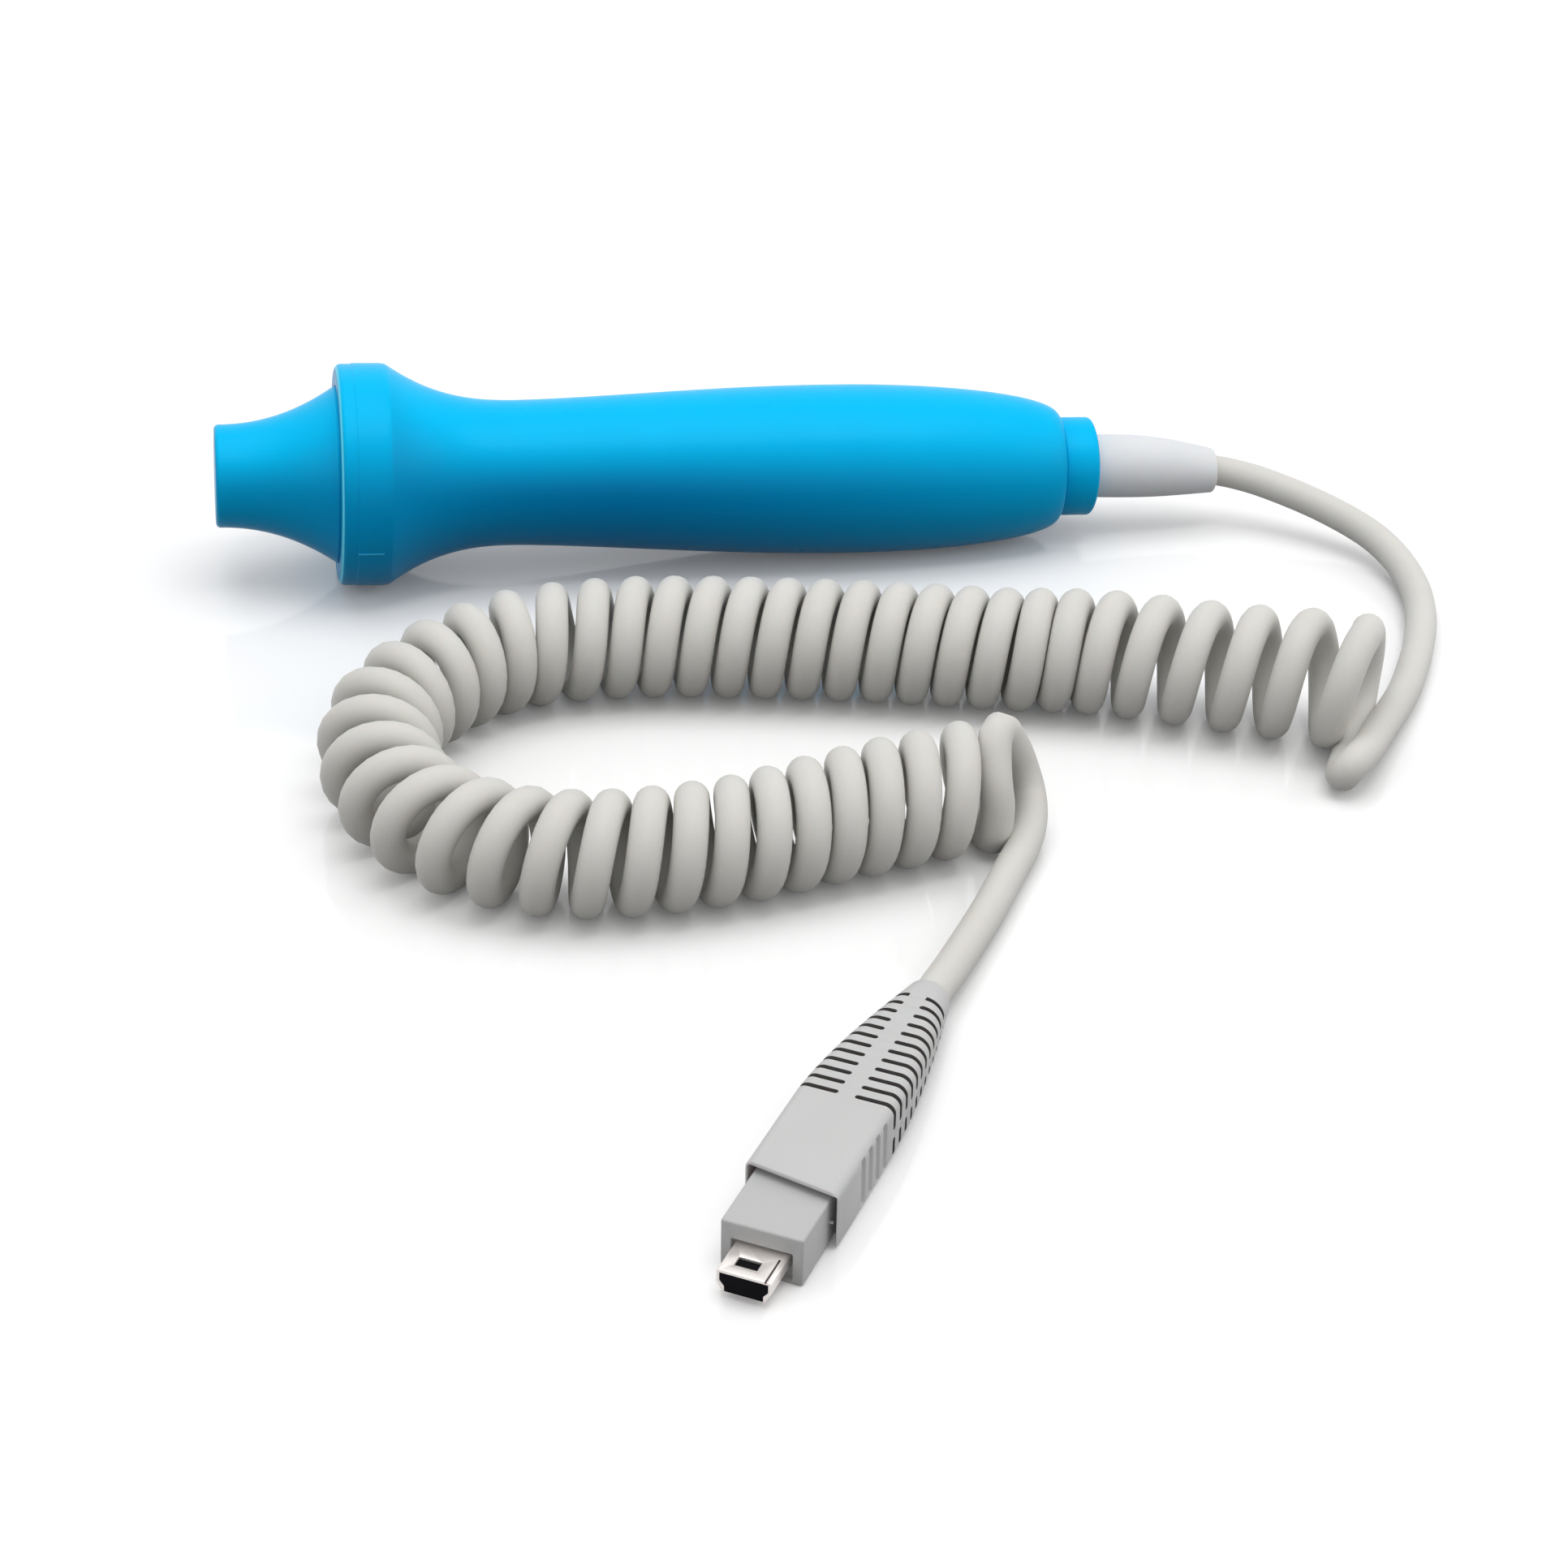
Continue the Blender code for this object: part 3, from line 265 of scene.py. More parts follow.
FINISHES = (
    Finish("blue_plastic", (0.0, 0.51, 0.90), (0.0, 0.49, 0.87), 0.30, grain=4200.0,
           glow=0.05, glow_reach=0.0010, specular=0.05,
           # painted shade toward the bottom, and a painted highlight on the flange's front rim and
           # parting ridge
           painted_light=((UNDER_SHADE_MARK, (0.0, 0.20, 0.45)), (EDGE_HIGHLIGHT_MARK, (0.12, 0.68, 0.90)))),
    Finish("relief_grey", (0.72, 0.745, 0.77), (0.69, 0.71, 0.735), 0.52, grain=3600.0,
           relief=0.000014, glow=0.30, glow_reach=0.003, specular=0.2),
    Finish("cord_grey", (0.66, 0.65, 0.62), (0.63, 0.62, 0.585), 0.50, grain=3000.0,
           relief=0.000008, patches=60.0, glow=0.15, specular=0.2),
    Finish("plug_grey", (0.55, 0.55, 0.55), (0.53, 0.53, 0.528), 0.50, grain=4800.0,
           # painted shade on the walls inside the slots
           glow=0.08, specular=0.2, painted_light=((RECESS_SHADE_MARK, (0.10, 0.095, 0.09)),)),
    Finish("block_grey", (0.50, 0.50, 0.50), (0.48, 0.485, 0.485), 0.42, grain=5200.0,
           relief=0.000006, glow=0.06, specular=0.2),
    Finish("nickel", (0.84, 0.79, 0.76), (0.80, 0.75, 0.72), 0.30, Surface.PLATED, 0.60,
           grain=3800.0, relief=0.000002, spread=0.16,
           # painted shade on the floor of the seam
           painted_light=((RECESS_SHADE_MARK, (0.07, 0.055, 0.05)),)),
    Finish("black_plastic", (0.003, 0.003, 0.004), (0.009, 0.009, 0.011), 0.45, grain=6000.0,
           relief=0.000005, specular=0.03),
    Finish("gold_plate", (0.83, 0.60, 0.23), (0.78, 0.54, 0.19), 0.24, Surface.PLATED, 1.0,
           grain=4000.0, relief=0.000002),
    Finish("crystal_ceramic", (0.60, 0.52, 0.40), (0.54, 0.46, 0.35), 0.48,
           grain=9000.0, patches=700.0),
    Finish("absorber_resin", (0.10, 0.09, 0.08), (0.06, 0.055, 0.05), 0.72,
           grain=2600.0, relief=0.00003, patches=900.0),
    Finish("cork_sheet", (0.42, 0.27, 0.14), (0.26, 0.15, 0.07), 0.85,
           grain=2200.0, relief=0.00005, patches=1300.0),
    Finish("white_plastic", (0.78, 0.78, 0.75), (0.74, 0.74, 0.70), 0.50, grain=4000.0),
    Finish("board_green", (0.02, 0.18, 0.07), (0.015, 0.14, 0.05), 0.35,
           grain=1500.0, patches=260.0),
    Finish("seal_rubber", (0.02, 0.02, 0.02), (0.035, 0.035, 0.035), 0.66,
           grain=3000.0, relief=0.00002),
    Finish("enamelled_copper", (0.50, 0.20, 0.08), (0.42, 0.15, 0.055), 0.32, Surface.PLATED,
           1.0, grain=2600.0, relief=0.000003),
)


def put(name: str, data: bpy.types.ID) -> Piece:
    """Make an object of some data and put it in the scene.

    Args:
        name: The object's name.
        data: Its mesh, curve, camera or lamp.

    Returns:
        The object.
    """
    made = bpy.data.objects.new(name, data)
    bpy.context.scene.collection.objects.link(made)
    return made


class Dresser:
    """Holds the finishes, and links each finished piece to the frame."""

    def __init__(self, record: dict) -> None:
        """Build the groups and finishes.

        Args:
            record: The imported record.
        """
        kit = GroupKit()
        self.finishes = {finish.name: finish.make(kit) for finish in FINISHES}
        self.slots = {part["node"]: part["material_slot"] for part in record["subparts"]}

    def link(self, name: str, data: bpy.types.ID, finish: str, *nodes: str) -> Piece:
        """Put one piece in the scene and tie it to the frame.

        Args:
            name: The piece's name.
            data: Its mesh or curve, already in place.
            finish: The name of its finish.
            *nodes: The CAD nodes that it stands for.

        Returns:
            The piece.
        """
        piece = put(name, data)
        data.materials.append(self.finishes[finish])
        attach(piece, "root")
        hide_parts(*nodes)
        LOG.info("%s: %s", name, finish)
        return piece

    def dress_nodes(self, nodes: dict[str, Piece]) -> None:
        """Give every CAD node its slot's finish.

        Args:
            nodes: The frame's nodes by name.
        """
        for name, node in nodes.items():
            finish = self.finishes[self.slots[name]]
            if node.material_slots:
                for place in node.material_slots:
                    place.material = finish
            else:
                node.data.materials.append(finish)


@dataclass
class Assembly:
    """Pieces that are made and dressed together."""

    dresser: Dresser

    def dress(self, mesh: Mesh, node: str, finish: str) -> Piece:
        """Link the fine piece that stands for one CAD node."""
        return self.dresser.link(f"{node}_fine", mesh, finish, node)


def shares(count: int, first: int = 0) -> list[float]:
    """Even steps up to 1, from the given step of a count."""
    return [index / count for index in range(first, count + 1)]


def arc(centre: Pair, radius: float, start: float, end: float, count: int) -> list[Pair]:
    """Points on an arc.

    Args:
        centre: The arc's centre as (radius, z).
        radius: The arc's own radius.
        start: First angle in degrees.
        end: Last angle in degrees.
        count: Spans between the two.

    Returns:
        The points as (radius, z).
    """
    angles = [math.radians(start + (end - start) * share) for share in shares(count)]
    return [(centre[0] + radius * math.cos(angle), centre[1] + radius * math.sin(angle))
            for angle in angles]


def turn(profile: list[Pair], steps: int) -> Build:
    """Spin a profile of (radius, z) pairs about Z into a closed skin.

    Args:
        profile: The outline, which ends on the axis or closes on itself.
        steps: Facets round the axis.

    Returns:
        The bmesh.
    """
    build = bmesh.new()
    verts = [build.verts.new((radius, 0.0, z)) for radius, z in profile]
    edges = [build.edges.new(pair) for pair in zip(verts, verts[1:])]
    if profile[0][0] > 0.0:
        edges.append(build.edges.new((verts[-1], verts[0])))
    bmesh.ops.spin(build, geom=verts + edges, cent=(0.0, 0.0, 0.0), axis=(0.0, 0.0, 1.0),
                   dvec=(0.0, 0.0, 0.0), angle=math.tau, steps=steps, use_merge=True)
    bmesh.ops.remove_doubles(build, verts=build.verts, dist=1e-7)
    return build


def box(size: Triple, centre: Triple, edge: float = 0.0, segments: int = 3) -> Build:
    """Make a box with rounded edges.

    Args:
        size: Its full size.
        centre: Its middle.
        edge: Radius of its edges.
        segments: Facets on each.

    Returns:
        The bmesh.
    """
    build = bmesh.new()
    bmesh.ops.create_cube(build, size=1.0,
                          matrix=Matrix.LocRotScale(Vector(centre), None, Vector(size)))
    if edge > 0.0:
        bmesh.ops.bevel(build, geom=list(build.edges), offset=edge, segments=segments,
                        affect="EDGES", profile=0.5, material=-1)
    return build


def rod(build: Build, radius: float, length: float, segments: int, place: Matrix) -> None:
    """Add a rod along the Z of its place."""
    bmesh.ops.create_cone(build, cap_ends=True, segments=segments, radius1=radius,
                          radius2=radius, depth=length, matrix=place)


def flesh(build: Build, name: str = "raw") -> Mesh:
    """Turn a bmesh, which is freed, into mesh data whose faces point outwards.

    Args:
        build: The bmesh.
        name: The mesh's name.

    Returns:
        The mesh.
    """
    bmesh.ops.recalc_face_normals(build, faces=build.faces)
    mesh = bpy.data.meshes.new(name)
    build.to_mesh(mesh)
    build.free()
    return mesh


def smooth(mesh: Mesh, sharp: float) -> Mesh:
    """Shade a mesh smooth.

    Args:
        mesh: The mesh.
        sharp: Angle in degrees above which an edge stays sharp.

    Returns:
        The mesh.
    """
    mesh.shade_smooth()
    mesh.set_sharp_from_angle(angle=math.radians(sharp))
    return mesh


def work(mesh: Mesh, kind: str, **settings: object) -> Mesh:
    """Run one modifier on a mesh.

    Args:
        mesh: The mesh.
        kind: The modifier's type.
        **settings: Its settings.

    Returns:
        The mesh that comes out.
    """
    body = put("worked", mesh)
    step = body.modifiers.new("step", kind)
    for name, value in settings.items():
        setattr(step, name, value)
    seen = body.evaluated_get(bpy.context.evaluated_depsgraph_get())
    done = bpy.data.meshes.new_from_object(seen)
    bpy.data.objects.remove(body)
    return done


def carve(mesh: Mesh, tool: Build) -> Mesh:
    """Take a volume out of a mesh.

    Args:
        mesh: The mesh to cut.
        tool: The volume, whose bmesh is freed.

    Returns:
        The cut mesh.
    """
    cutter = put("tool", flesh(tool))
    done = work(mesh, "BOOLEAN", operation="DIFFERENCE", solver="EXACT", object=cutter)
    bpy.data.objects.remove(cutter)
    return done


def soften(mesh: Mesh, width: float, angle: float, sharp: float) -> Mesh:
    """Round a mesh's sharp edges.

    Args:
        mesh: The mesh.
        width: How far back each edge is cut.
        angle: Angle in degrees above which an edge is rounded.
        sharp: Angle in degrees above which an edge still shades sharp.

    Returns:
        The rounded mesh.
    """
    return smooth(work(mesh, "BEVEL", width=width, segments=2, limit_method="ANGLE",
                       angle_limit=math.radians(angle)), sharp)


@dataclass
class PhotoCamera:
    """The fitted camera of the photograph."""

    place: Triple = (-0.07644, -0.49828, 0.2657)
    heading: float = math.radians(9.8354)
    drop: float = math.radians(31.5)
    roll: float = math.radians(1.2)
    focal: float = 4400.0       # in the photograph's own pixels
    sensor: float = 36.0

    def build(self) -> None:
        """Make the camera and set it as the scene's."""
        forward = Vector((math.sin(self.heading) * math.cos(self.drop),
                          math.cos(self.heading) * math.cos(self.drop), -math.sin(self.drop)))
        level = Vector((math.cos(self.heading), -math.sin(self.heading), 0.0))
        rise = level.cross(forward)
        right = level * math.cos(self.roll) + rise * math.sin(self.roll)
        up = rise * math.cos(self.roll) - level * math.sin(self.roll)
        data = bpy.data.cameras.new("camera")
        data.sensor_width, data.sensor_fit = self.sensor, "HORIZONTAL"
        data.lens = self.focal / PHOTO_SIDE * self.sensor
        data.clip_start, data.clip_end = 0.01, 20.0
        pose = Matrix((right, up, -forward)).transposed().to_4x4()
        pose.translation = self.place
        camera = put("camera", data)
        camera.matrix_world = pose
        bpy.context.scene.camera = camera


@dataclass(frozen=True)
class Softbox:
    """One white area lamp: where it hangs, what it points at, its size and its power."""

    name: str
    place: Triple
    target: Triple
    size: Pair
    power: float

    def build(self) -> None:
        """Hang the lamp."""
        data = bpy.data.lights.new(self.name, "AREA")
        data.shape = "RECTANGLE"
        data.size, data.size_y = self.size
        data.energy = self.power
        aim = Vector(self.target) - Vector(self.place)
        put(self.name, data).matrix_world = Matrix.LocRotScale(
            Vector(self.place), aim.to_track_quat("-Z", "Y"), None)


@dataclass
class Studio:
    """Pale floor, world and lamps."""

    reach: float = 3.0
    bounce: float = 0.22        # how pale the floor is as a lamp
    pale: Pair = (0.965, 0.975)     # how pale it is seen, in soft patches
    lift: float = 0.06
    mirror: float = 0.10
    gloss: float = 0.07
    sky: float = 0.66
    lamps: tuple[Softbox, ...] = (
        Softbox("overhead", (0.04, 0.06, 1.0), (0.0, -0.03, 0.0), (1.00, 0.60), 3.3),
        Softbox("band", (0.05, -0.34, 1.02), (0.0, -0.03, 0.0), (0.80, 0.18), 1.4),
        Softbox("right", (0.90, -0.25, 0.55), (0.0, -0.06, 0.01), (0.70, 0.70), 1.8),
        Softbox("left", (-0.90, -0.25, 0.45), (-0.03, -0.06, 0.01), (0.60, 0.60), 0.8),
    )

    def build(self) -> None:
        """Make the floor, the world and the lamps."""
        self._floor()
        self._world()
        for lamp in self.lamps:
            lamp.build()
        bpy.context.scene.view_settings.view_transform = "Standard"

    def _floor(self) -> None:
        """Lay the floor, which keeps the shadows and a faint reflection."""
        build = bmesh.new()
        bmesh.ops.create_grid(build, x_segments=4, y_segments=4, size=self.reach)
        mesh = bpy.data.meshes.new("floor")
        build.to_mesh(mesh)
        build.free()
        made = bpy.data.materials.new("floor_white")
        made.use_nodes = True
        made.node_tree.nodes.clear()
        mesh.materials.append(made)
        sheet = NodeSheet(made.node_tree)
        seen = self._seen(sheet)
        low, high = self.pale
        pale = sheet.add("MapRange", Value=sheet.add("TexNoise", Scale=3.0, Detail=2.0),
                         To_Min=low, To_Max=high)
        matt = sheet.add("BsdfDiffuse", Color=sheet.add("MapRange", Value=seen,
                                                        To_Min=self.bounce, To_Max=pale))
        both = sheet.add("MixShader", sheet.maths("MULTIPLY", seen, self.mirror), matt,
                         sheet.add("BsdfGlossy", Roughness=self.gloss))
        light = sheet.add("Emission", Strength=sheet.maths("MULTIPLY", seen, self.lift))
        sheet.add("OutputMaterial", sheet.add("AddShader", both, light))
        put("floor", mesh)

    def _seen(self, sheet: NodeSheet) -> Socket:
        """Mask of the rays that look at a surface, straight, in gloss or through glass.

        Args:
            sheet: The tree to lay it in.

        Returns:
            The mask's socket.
        """
        path = sheet.add("LightPath").outputs
        gloss = sheet.maths("MAXIMUM", path["Is Glossy Ray"], path["Is Transmission Ray"])
        return sheet.maths("MAXIMUM", path["Is Camera Ray"], gloss)

    def _world(self) -> None:
        """White to the camera and to gloss, and softer as light."""
        world = bpy.data.worlds.new("studio")
        world.use_nodes = True
        bpy.context.scene.world = world
        sheet = NodeSheet(world.node_tree)
        power = sheet.add("MapRange", Value=self._seen(sheet), To_Min=self.sky, To_Max=1.0)
        sheet.fill(sheet.tree.nodes["Background"], (1.0, 1.0, 1.0, 1.0), power)


@dataclass
class Cord(Assembly):
    """The free cord: lead from the probe, curly stretch, and lead to the plug."""

    radius: float = 0.0024
    per_turn: int = 20
    step: float = 0.0014
    spacing: float = 0.00035        # between the points of the smooth curve
    lift: float = 0.02              # millimetres between the coil and the floor
    near_lead: tuple[Triple, ...] = (
        (77.8, 0.15, 9.55), (79.8, 0.08, 9.35), (83.6, -1.1, 8.75), (87.5, -3.1, 8.0),
        (95.2, -8.8, 6.2), (101.0, -15.6, 4.5), (103.4, -22.5, 3.4), (103.5, -31.9, 2.7),
        (101.6, -40.4, 2.45), (98.2, -49.3, 2.42), (95.9, -54.2, 2.42), (92.5, -60.8, 2.55),
        (88.1, -67.9, 3.1), (83.5, -75.2, 4.0), (79.9, -81.0, 4.85), (77.9, -83.6, 5.2),
        (76.5, -84.9, 4.8), (75.8, -84.7, 3.6), (76.4, -82.3, 2.55), (78.0, -79.0, 2.42),
        (79.6, -75.5, 2.42), (81.0, -72.2, 2.5), (82.5, -68.9, 3.4), (83.7, -66.4, 5.2),
        (84.4, -65.0, 7.9), (84.7, -64.7, 11.0), (84.2, -65.9, 14.6), (83.1, -68.0, 17.3),
    )
    centres: tuple[Triple, ...] = (     # turn, x and y
        (1.0, 81.8, -71.0), (2.0, 74.0, -67.0), (3.0, 67.3, -64.1), (6.0, 48.1, -56.1),
        (9.0, 32.8, -52.4), (12.0, 17.55, -48.5), (15.0, 1.5, -45.15), (18.0, -14.8, -42.4),
        (20.0, -26.1, -41.8), (22.0, -38.4, -43.4), (24.0, -49.6, -50.2), (26.0, -58.0, -61.8),
        (28.0, -58.9, -76.1), (30.0, -53.1, -89.0), (32.0, -42.6, -96.8), (34.0, -31.0, -99.65),
        (37.0, -14.1, -98.6), (40.0, 2.0, -94.65), (42.5, 15.65, -91.3), (44.5, 28.9, -87.6),
    )
    radii: tuple[Pair, ...] = (
        (1.0, 7.95), (1.35, 8.6), (1.6, 8.1), (2.0, 7.4), (4.0, 7.07), (9.0, 6.68),
        (20.0, 6.62), (29.0, 6.25), (37.0, 6.41), (41.0, 6.92), (44.5, 6.83),
    )
    yaw: tuple[Pair, ...] = (   # how far each turn's front runs ahead of its top
        (1.0, -0.3), (4.0, -0.2), (7.0, 0.3), (24.0, 0.35), (36.0, 0.75), (40.0, 1.15),
        (41.75, 1.25), (42.25, 1.35), (42.75, 2.0), (43.2, 1.45), (44.5, 1.35),
    )
    first_turn: float = 1.0
    last_turn: float = 43.46
    far_lead: tuple[Triple, ...] = (
        (23.0, -93.6, 3.1), (23.3, -94.0, 5.4), (23.4, -93.9, 8.6), (23.1, -93.2, 11.4),
        (23.2, -91.5, 13.7), (23.4, -90.1, 15.6), (23.7, -89.1, 16.5), (24.3, -88.2, 17.0),
        (25.1, -87.3, 16.5), (25.9, -86.7, 15.2), (26.7, -86.1, 13.6), (27.7, -85.5, 11.5),
        (28.7, -85.4, 8.7), (29.4, -86.5, 6.1), (29.3, -89.3, 4.3), (28.3, -92.6, 3.2),
        (26.4, -96.6, 2.5), (24.1, -100.7, 2.42), (21.6, -105.4, 2.45), (18.4, -111.3, 2.5),
        (14.2, -118.5, 2.7), (10.2, -125.4, 3.2), (7.6, -129.6, 3.5), (6.2, -131.9, 3.55),
    )

    def centre(self, turn: float) -> tuple[Vector, Vector]:
        """Read the coil's centre line.

        Args:
            turn: How many turns along.

        Returns:
            The centre on the floor in millimetres, and the direction of travel.
        """
        table, last = self.centres, len(self.centres) - 1
        span = max(row for row in range(last) if row == 0 or turn > table[row][0])
        slopes = []
        for row in (span, span + 1):
            one, two = table[max(row - 1, 0)], table[min(row + 1, last)]
            slopes.append(Vector((two[1] - one[1], two[2] - one[2])) / (two[0] - one[0]))
        gap = table[span + 1][0] - table[span][0]
        t = (turn - table[span][0]) / gap
        a, b = Vector(table[span][1:]), Vector(table[span + 1][1:])
        m, n = slopes[0] * gap, slopes[1] * gap
        spot = (a * (2 * t ** 3 - 3 * t ** 2 + 1) + m * (t ** 3 - 2 * t ** 2 + t)
                + b * (3 * t ** 2 - 2 * t ** 3) + n * (t ** 3 - t ** 2))
        travel = (a * (6 * t ** 2 - 6 * t) + m * (3 * t ** 2 - 4 * t + 1)
                  + b * (6 * t - 6 * t ** 2) + n * (3 * t ** 2 - 2 * t))
        return spot, travel.normalized()

    def read(self, table: tuple[Pair, ...], turn: float) -> float:
        """Read a table of millimetres by turn, straight between its rows.

        Args:
            table: Its rows.
            turn: How many turns along.

        Returns:
            The value there.
        """
        for (n0, r0), (n1, r1) in zip(table, table[1:]):
            if turn <= n1:
                return r0 + (r1 - r0) * (turn - n0) / (n1 - n0)
        return table[-1][1]

    def knots(self) -> list[Vector]:
        """Lay the listed points and the coil's own, from the probe to the plug.

        Returns:
            The points in metres.
        """
        coil = []
        length = self.last_turn - self.first_turn
        for share in shares(int(length * self.per_turn)):
            turn = self.first_turn + length * share
            middle, travel = self.centre(turn)
            aside = Vector((-travel.y, travel.x))
            curl = self.read(self.radii, turn)
            angle = math.tau * turn
            flat = middle + (aside * curl + travel * self.read(self.yaw, turn)) * math.sin(angle)
            rise = curl + self.radius / MM + self.lift + curl * math.cos(angle)
            coil.append((flat.x, flat.y, rise))
        return [Vector(spot) * MM for spot in (*self.near_lead, *coil, *self.far_lead)]

    def route(self) -> list[Vector]:
        """Read even points from one smooth curve through the knots.

        Returns:
            The points in metres.
        """
        def blend(one: Vector, two: Vector, start: float, end: float) -> Vector:
            """Point between two others at the time t."""
            return (end - t) / (end - start) * one + (t - start) / (end - start) * two

        spots = self.knots()
        spots = [2.0 * spots[0] - spots[1]] + spots + [2.0 * spots[-1] - spots[-2]]
        fine = []
        for a, b, c, d in zip(spots, spots[1:], spots[2:], spots[3:]):
            times = [0.0]
            for one, two in ((a, b), (b, c), (c, d)):
                times.append(times[-1] + max((two - one).length, 1e-6) ** 0.5)
            t0, t1, t2, t3 = times
            for share in shares(max(2, int((c - b).length / self.spacing)))[:-1]:
                t = t1 + (t2 - t1) * share
                middle = blend(b, c, t1, t2)
                fine.append(blend(blend(blend(a, b, t0, t1), middle, t0, t2),
                                  blend(middle, blend(c, d, t2, t3), t1, t3), t1, t2))
        fine.append(spots[-2])
        even, run = [fine[0]], 0.0
        for one, two in zip(fine, fine[1:]):
            run += (two - one).length
            if run >= self.step:
                even.append(two)
                run = 0.0
        if (even[-1] - fine[-1]).length > 0.3 * self.step:
            even.append(fine[-1])
        return even

    def build(self) -> tuple[Piece, float]:
        """Lay the cord.

        Returns:
            The cord and its length.
        """
        route = self.route()
        curve = bpy.data.curves.new("cord", "CURVE")
        curve.dimensions = "3D"
        curve.bevel_depth = self.radius
        curve.bevel_resolution = 7
        curve.use_fill_caps = True
        spline = curve.splines.new("POLY")
        spline.points.add(len(route) - 1)
        for point, spot in zip(spline.points, route):
            point.co = (*spot, 1.0)
        spline.use_smooth = True
        length = sum((two - one).length for one, two in zip(route, route[1:]))
        LOG.info("cord: %d points, %.4f m long", len(route), length)
        return self.dresser.link("cord", curve, "cord_grey", "lead_probe_end", "cord_coil",
                                 "lead_plug_end"), length


@dataclass
class Housing(Assembly):
    """The probe's blue housing and grey strain relief.

    The probe's own Z runs from its face along it, and its +X points down.
    """

    face: Triple = (-0.079585, 0.0, 0.018359)
    tilt: float = math.radians(2.80962)
    fit: float = 0.0001
    steps: int = 144
    small_steps: int = 96
    relief_steps: int = 72
    sharp: float = 30.0
    tip_r: float = 0.0079
    tip_flat: float = 0.6           # share of the tip's radius that is flat
    cone_r: float = 0.0135
    cone_length: float = 0.0182
    cone_power: float = 2.1
    cone_edge: float = 0.0007
    cone_step: float = 0.0009
    window: float = 0.0012
    pocket_r: float = 0.0065
    pocket_end: float = 0.0110
    spigot_r: float = 0.0124
    spigot_in_r: float = 0.0104
    spigot_end: float = 0.0270
    seat_z: float = 0.0130
    seal_at: float = 0.0234
    seal_half: float = 0.0009
    seal_depth: float = 0.0012
    flange_r: float = 0.0171
    flange_end: float = 0.0261
    flange_back: float = 0.0009     # the flange's last straight stretch
    flange_sink: float = 0.00012
    flange_front: float = 0.0185
    flange_edge: float = 0.0010
    rim: float = 0.0007             # the width of its front rim with the painted highlight
    rim_depth: float = 0.35         # and its depth, as a share of the flange's edge
    ridge_at: float = 0.0025
    ridge: float = 0.00010
    ridge_width: float = 0.00012
    seat_gap: float = 0.00025
    seat_edge: float = 0.0002
    parting: Triple = (0.00012, 0.00022, 0.0012)    # how proud, how wide, and short by
    parting_root: float = 0.0006
    parting_low: float = math.radians(18.4)
    # share of the painted highlight on the parting ridge
    parting_highlight: float = 0.4
    neck_r: float = 0.01125
    neck_at: float = 0.0460
    neck_power: float = 2.5
    belly_r: float = 0.01327
    belly_at: float = 0.0980
    belly_power: float = 1.45
    tail_r: float = 0.0083
    tail_at: float = 0.1325
    tail_edge: float = 0.0006
    tail_turn: float = 87.0         # degrees of the belly's oval before the tail's edge
    tail_step: float = 0.0001       # how much smaller the tail's end is than the oval's
    bore: tuple[Pair, ...] = ((0.0125, 0.0274), (0.00905, 0.0410), (0.0087, 0.1180),
                              (0.0062, 0.1220))
    collar_r: float = 0.0078
    collar_length: float = 0.0054
    collar_edge: float = 0.0006
    collar_lip: float = 0.00025
    collar_spigot: float = 0.0087
    collar_bore: float = 0.0040
    rear_seal_before: float = 0.0040
    rear_seal_depth: float = 0.0009
    relief_base: float = 0.0050
    relief_tip: float = 0.0036
    relief_length: float = 0.0206
    relief_edge: float = 0.0005
    relief_swell: float = 0.00055
    relief_bend: Triple = (0.0010, -0.0001, 0.0)    # how far its tip hangs
    relief_seat: float = 0.0050
    relief_flange: float = 0.0030
    cord_hole_r: float = 0.00255
    cord_hole_depth: float = 0.0016
    under: Pair = (57.0, 6.0)       # steepness in degrees where the painted shade starts and is full
    under_at: float = -0.018        # where along the row frame's x the painted shade is strongest
    under_reach: float = 0.070      # how far from there the painted shade has lost the next value
    # how much of the painted shade fades toward the probe's ends, and how fast
    under_loss: float = 0.55
    under_power: float = 1.4

    def place(self, build: Build, node: str, finish: str = "blue_plastic") -> Mesh:
        """Put a turned piece where the probe lies and link it.

        Args:
            build: Its bmesh, which is freed.
            node: The CAD node that it stands for.
            finish: The name of its finish.

        Returns:
            Its mesh.
        """
        pose = Matrix.LocRotScale(Vector(self.face), Euler((0.0, QUARTER + self.tilt, 0.0)),
                                  None)
        bmesh.ops.transform(build, matrix=pose, verts=build.verts)
        mesh = smooth(flesh(build, f"{node}_fine"), self.sharp)
        self.dress(mesh, node, finish)
        return mesh

    def mark_underside_shade(self, mesh: Mesh) -> None:
        """Mark painted shade by how far each spot of a mesh in its place turns away from above.

        Args:
            mesh: The mesh.
        """
        start, full = self.under
        marks = mesh.attributes.new(UNDER_SHADE_MARK, "FLOAT", "POINT").data
        for vert, mark in zip(mesh.vertices, marks):
            steep = math.degrees(math.asin(min(max(vert.normal.z, -1.0), 1.0)))
            share = min(max((start - steep) / (start - full), 0.0), 1.0)
            away = abs(vert.co.x - self.under_at) / self.under_reach
            loss = self.under_loss * away ** self.under_power
            mark.value = (1.0 - loss) * share * share * (3.0 - 2.0 * share)

    def groove(self, radius: float, middle: float, depth: float) -> list[Pair]:
        """Outline of a seal's groove, from its far side to its near side."""
        high, low = middle + self.seal_half, middle - self.seal_half
        return [(radius, high), (radius - depth, high), (radius - depth, low), (radius, low)]

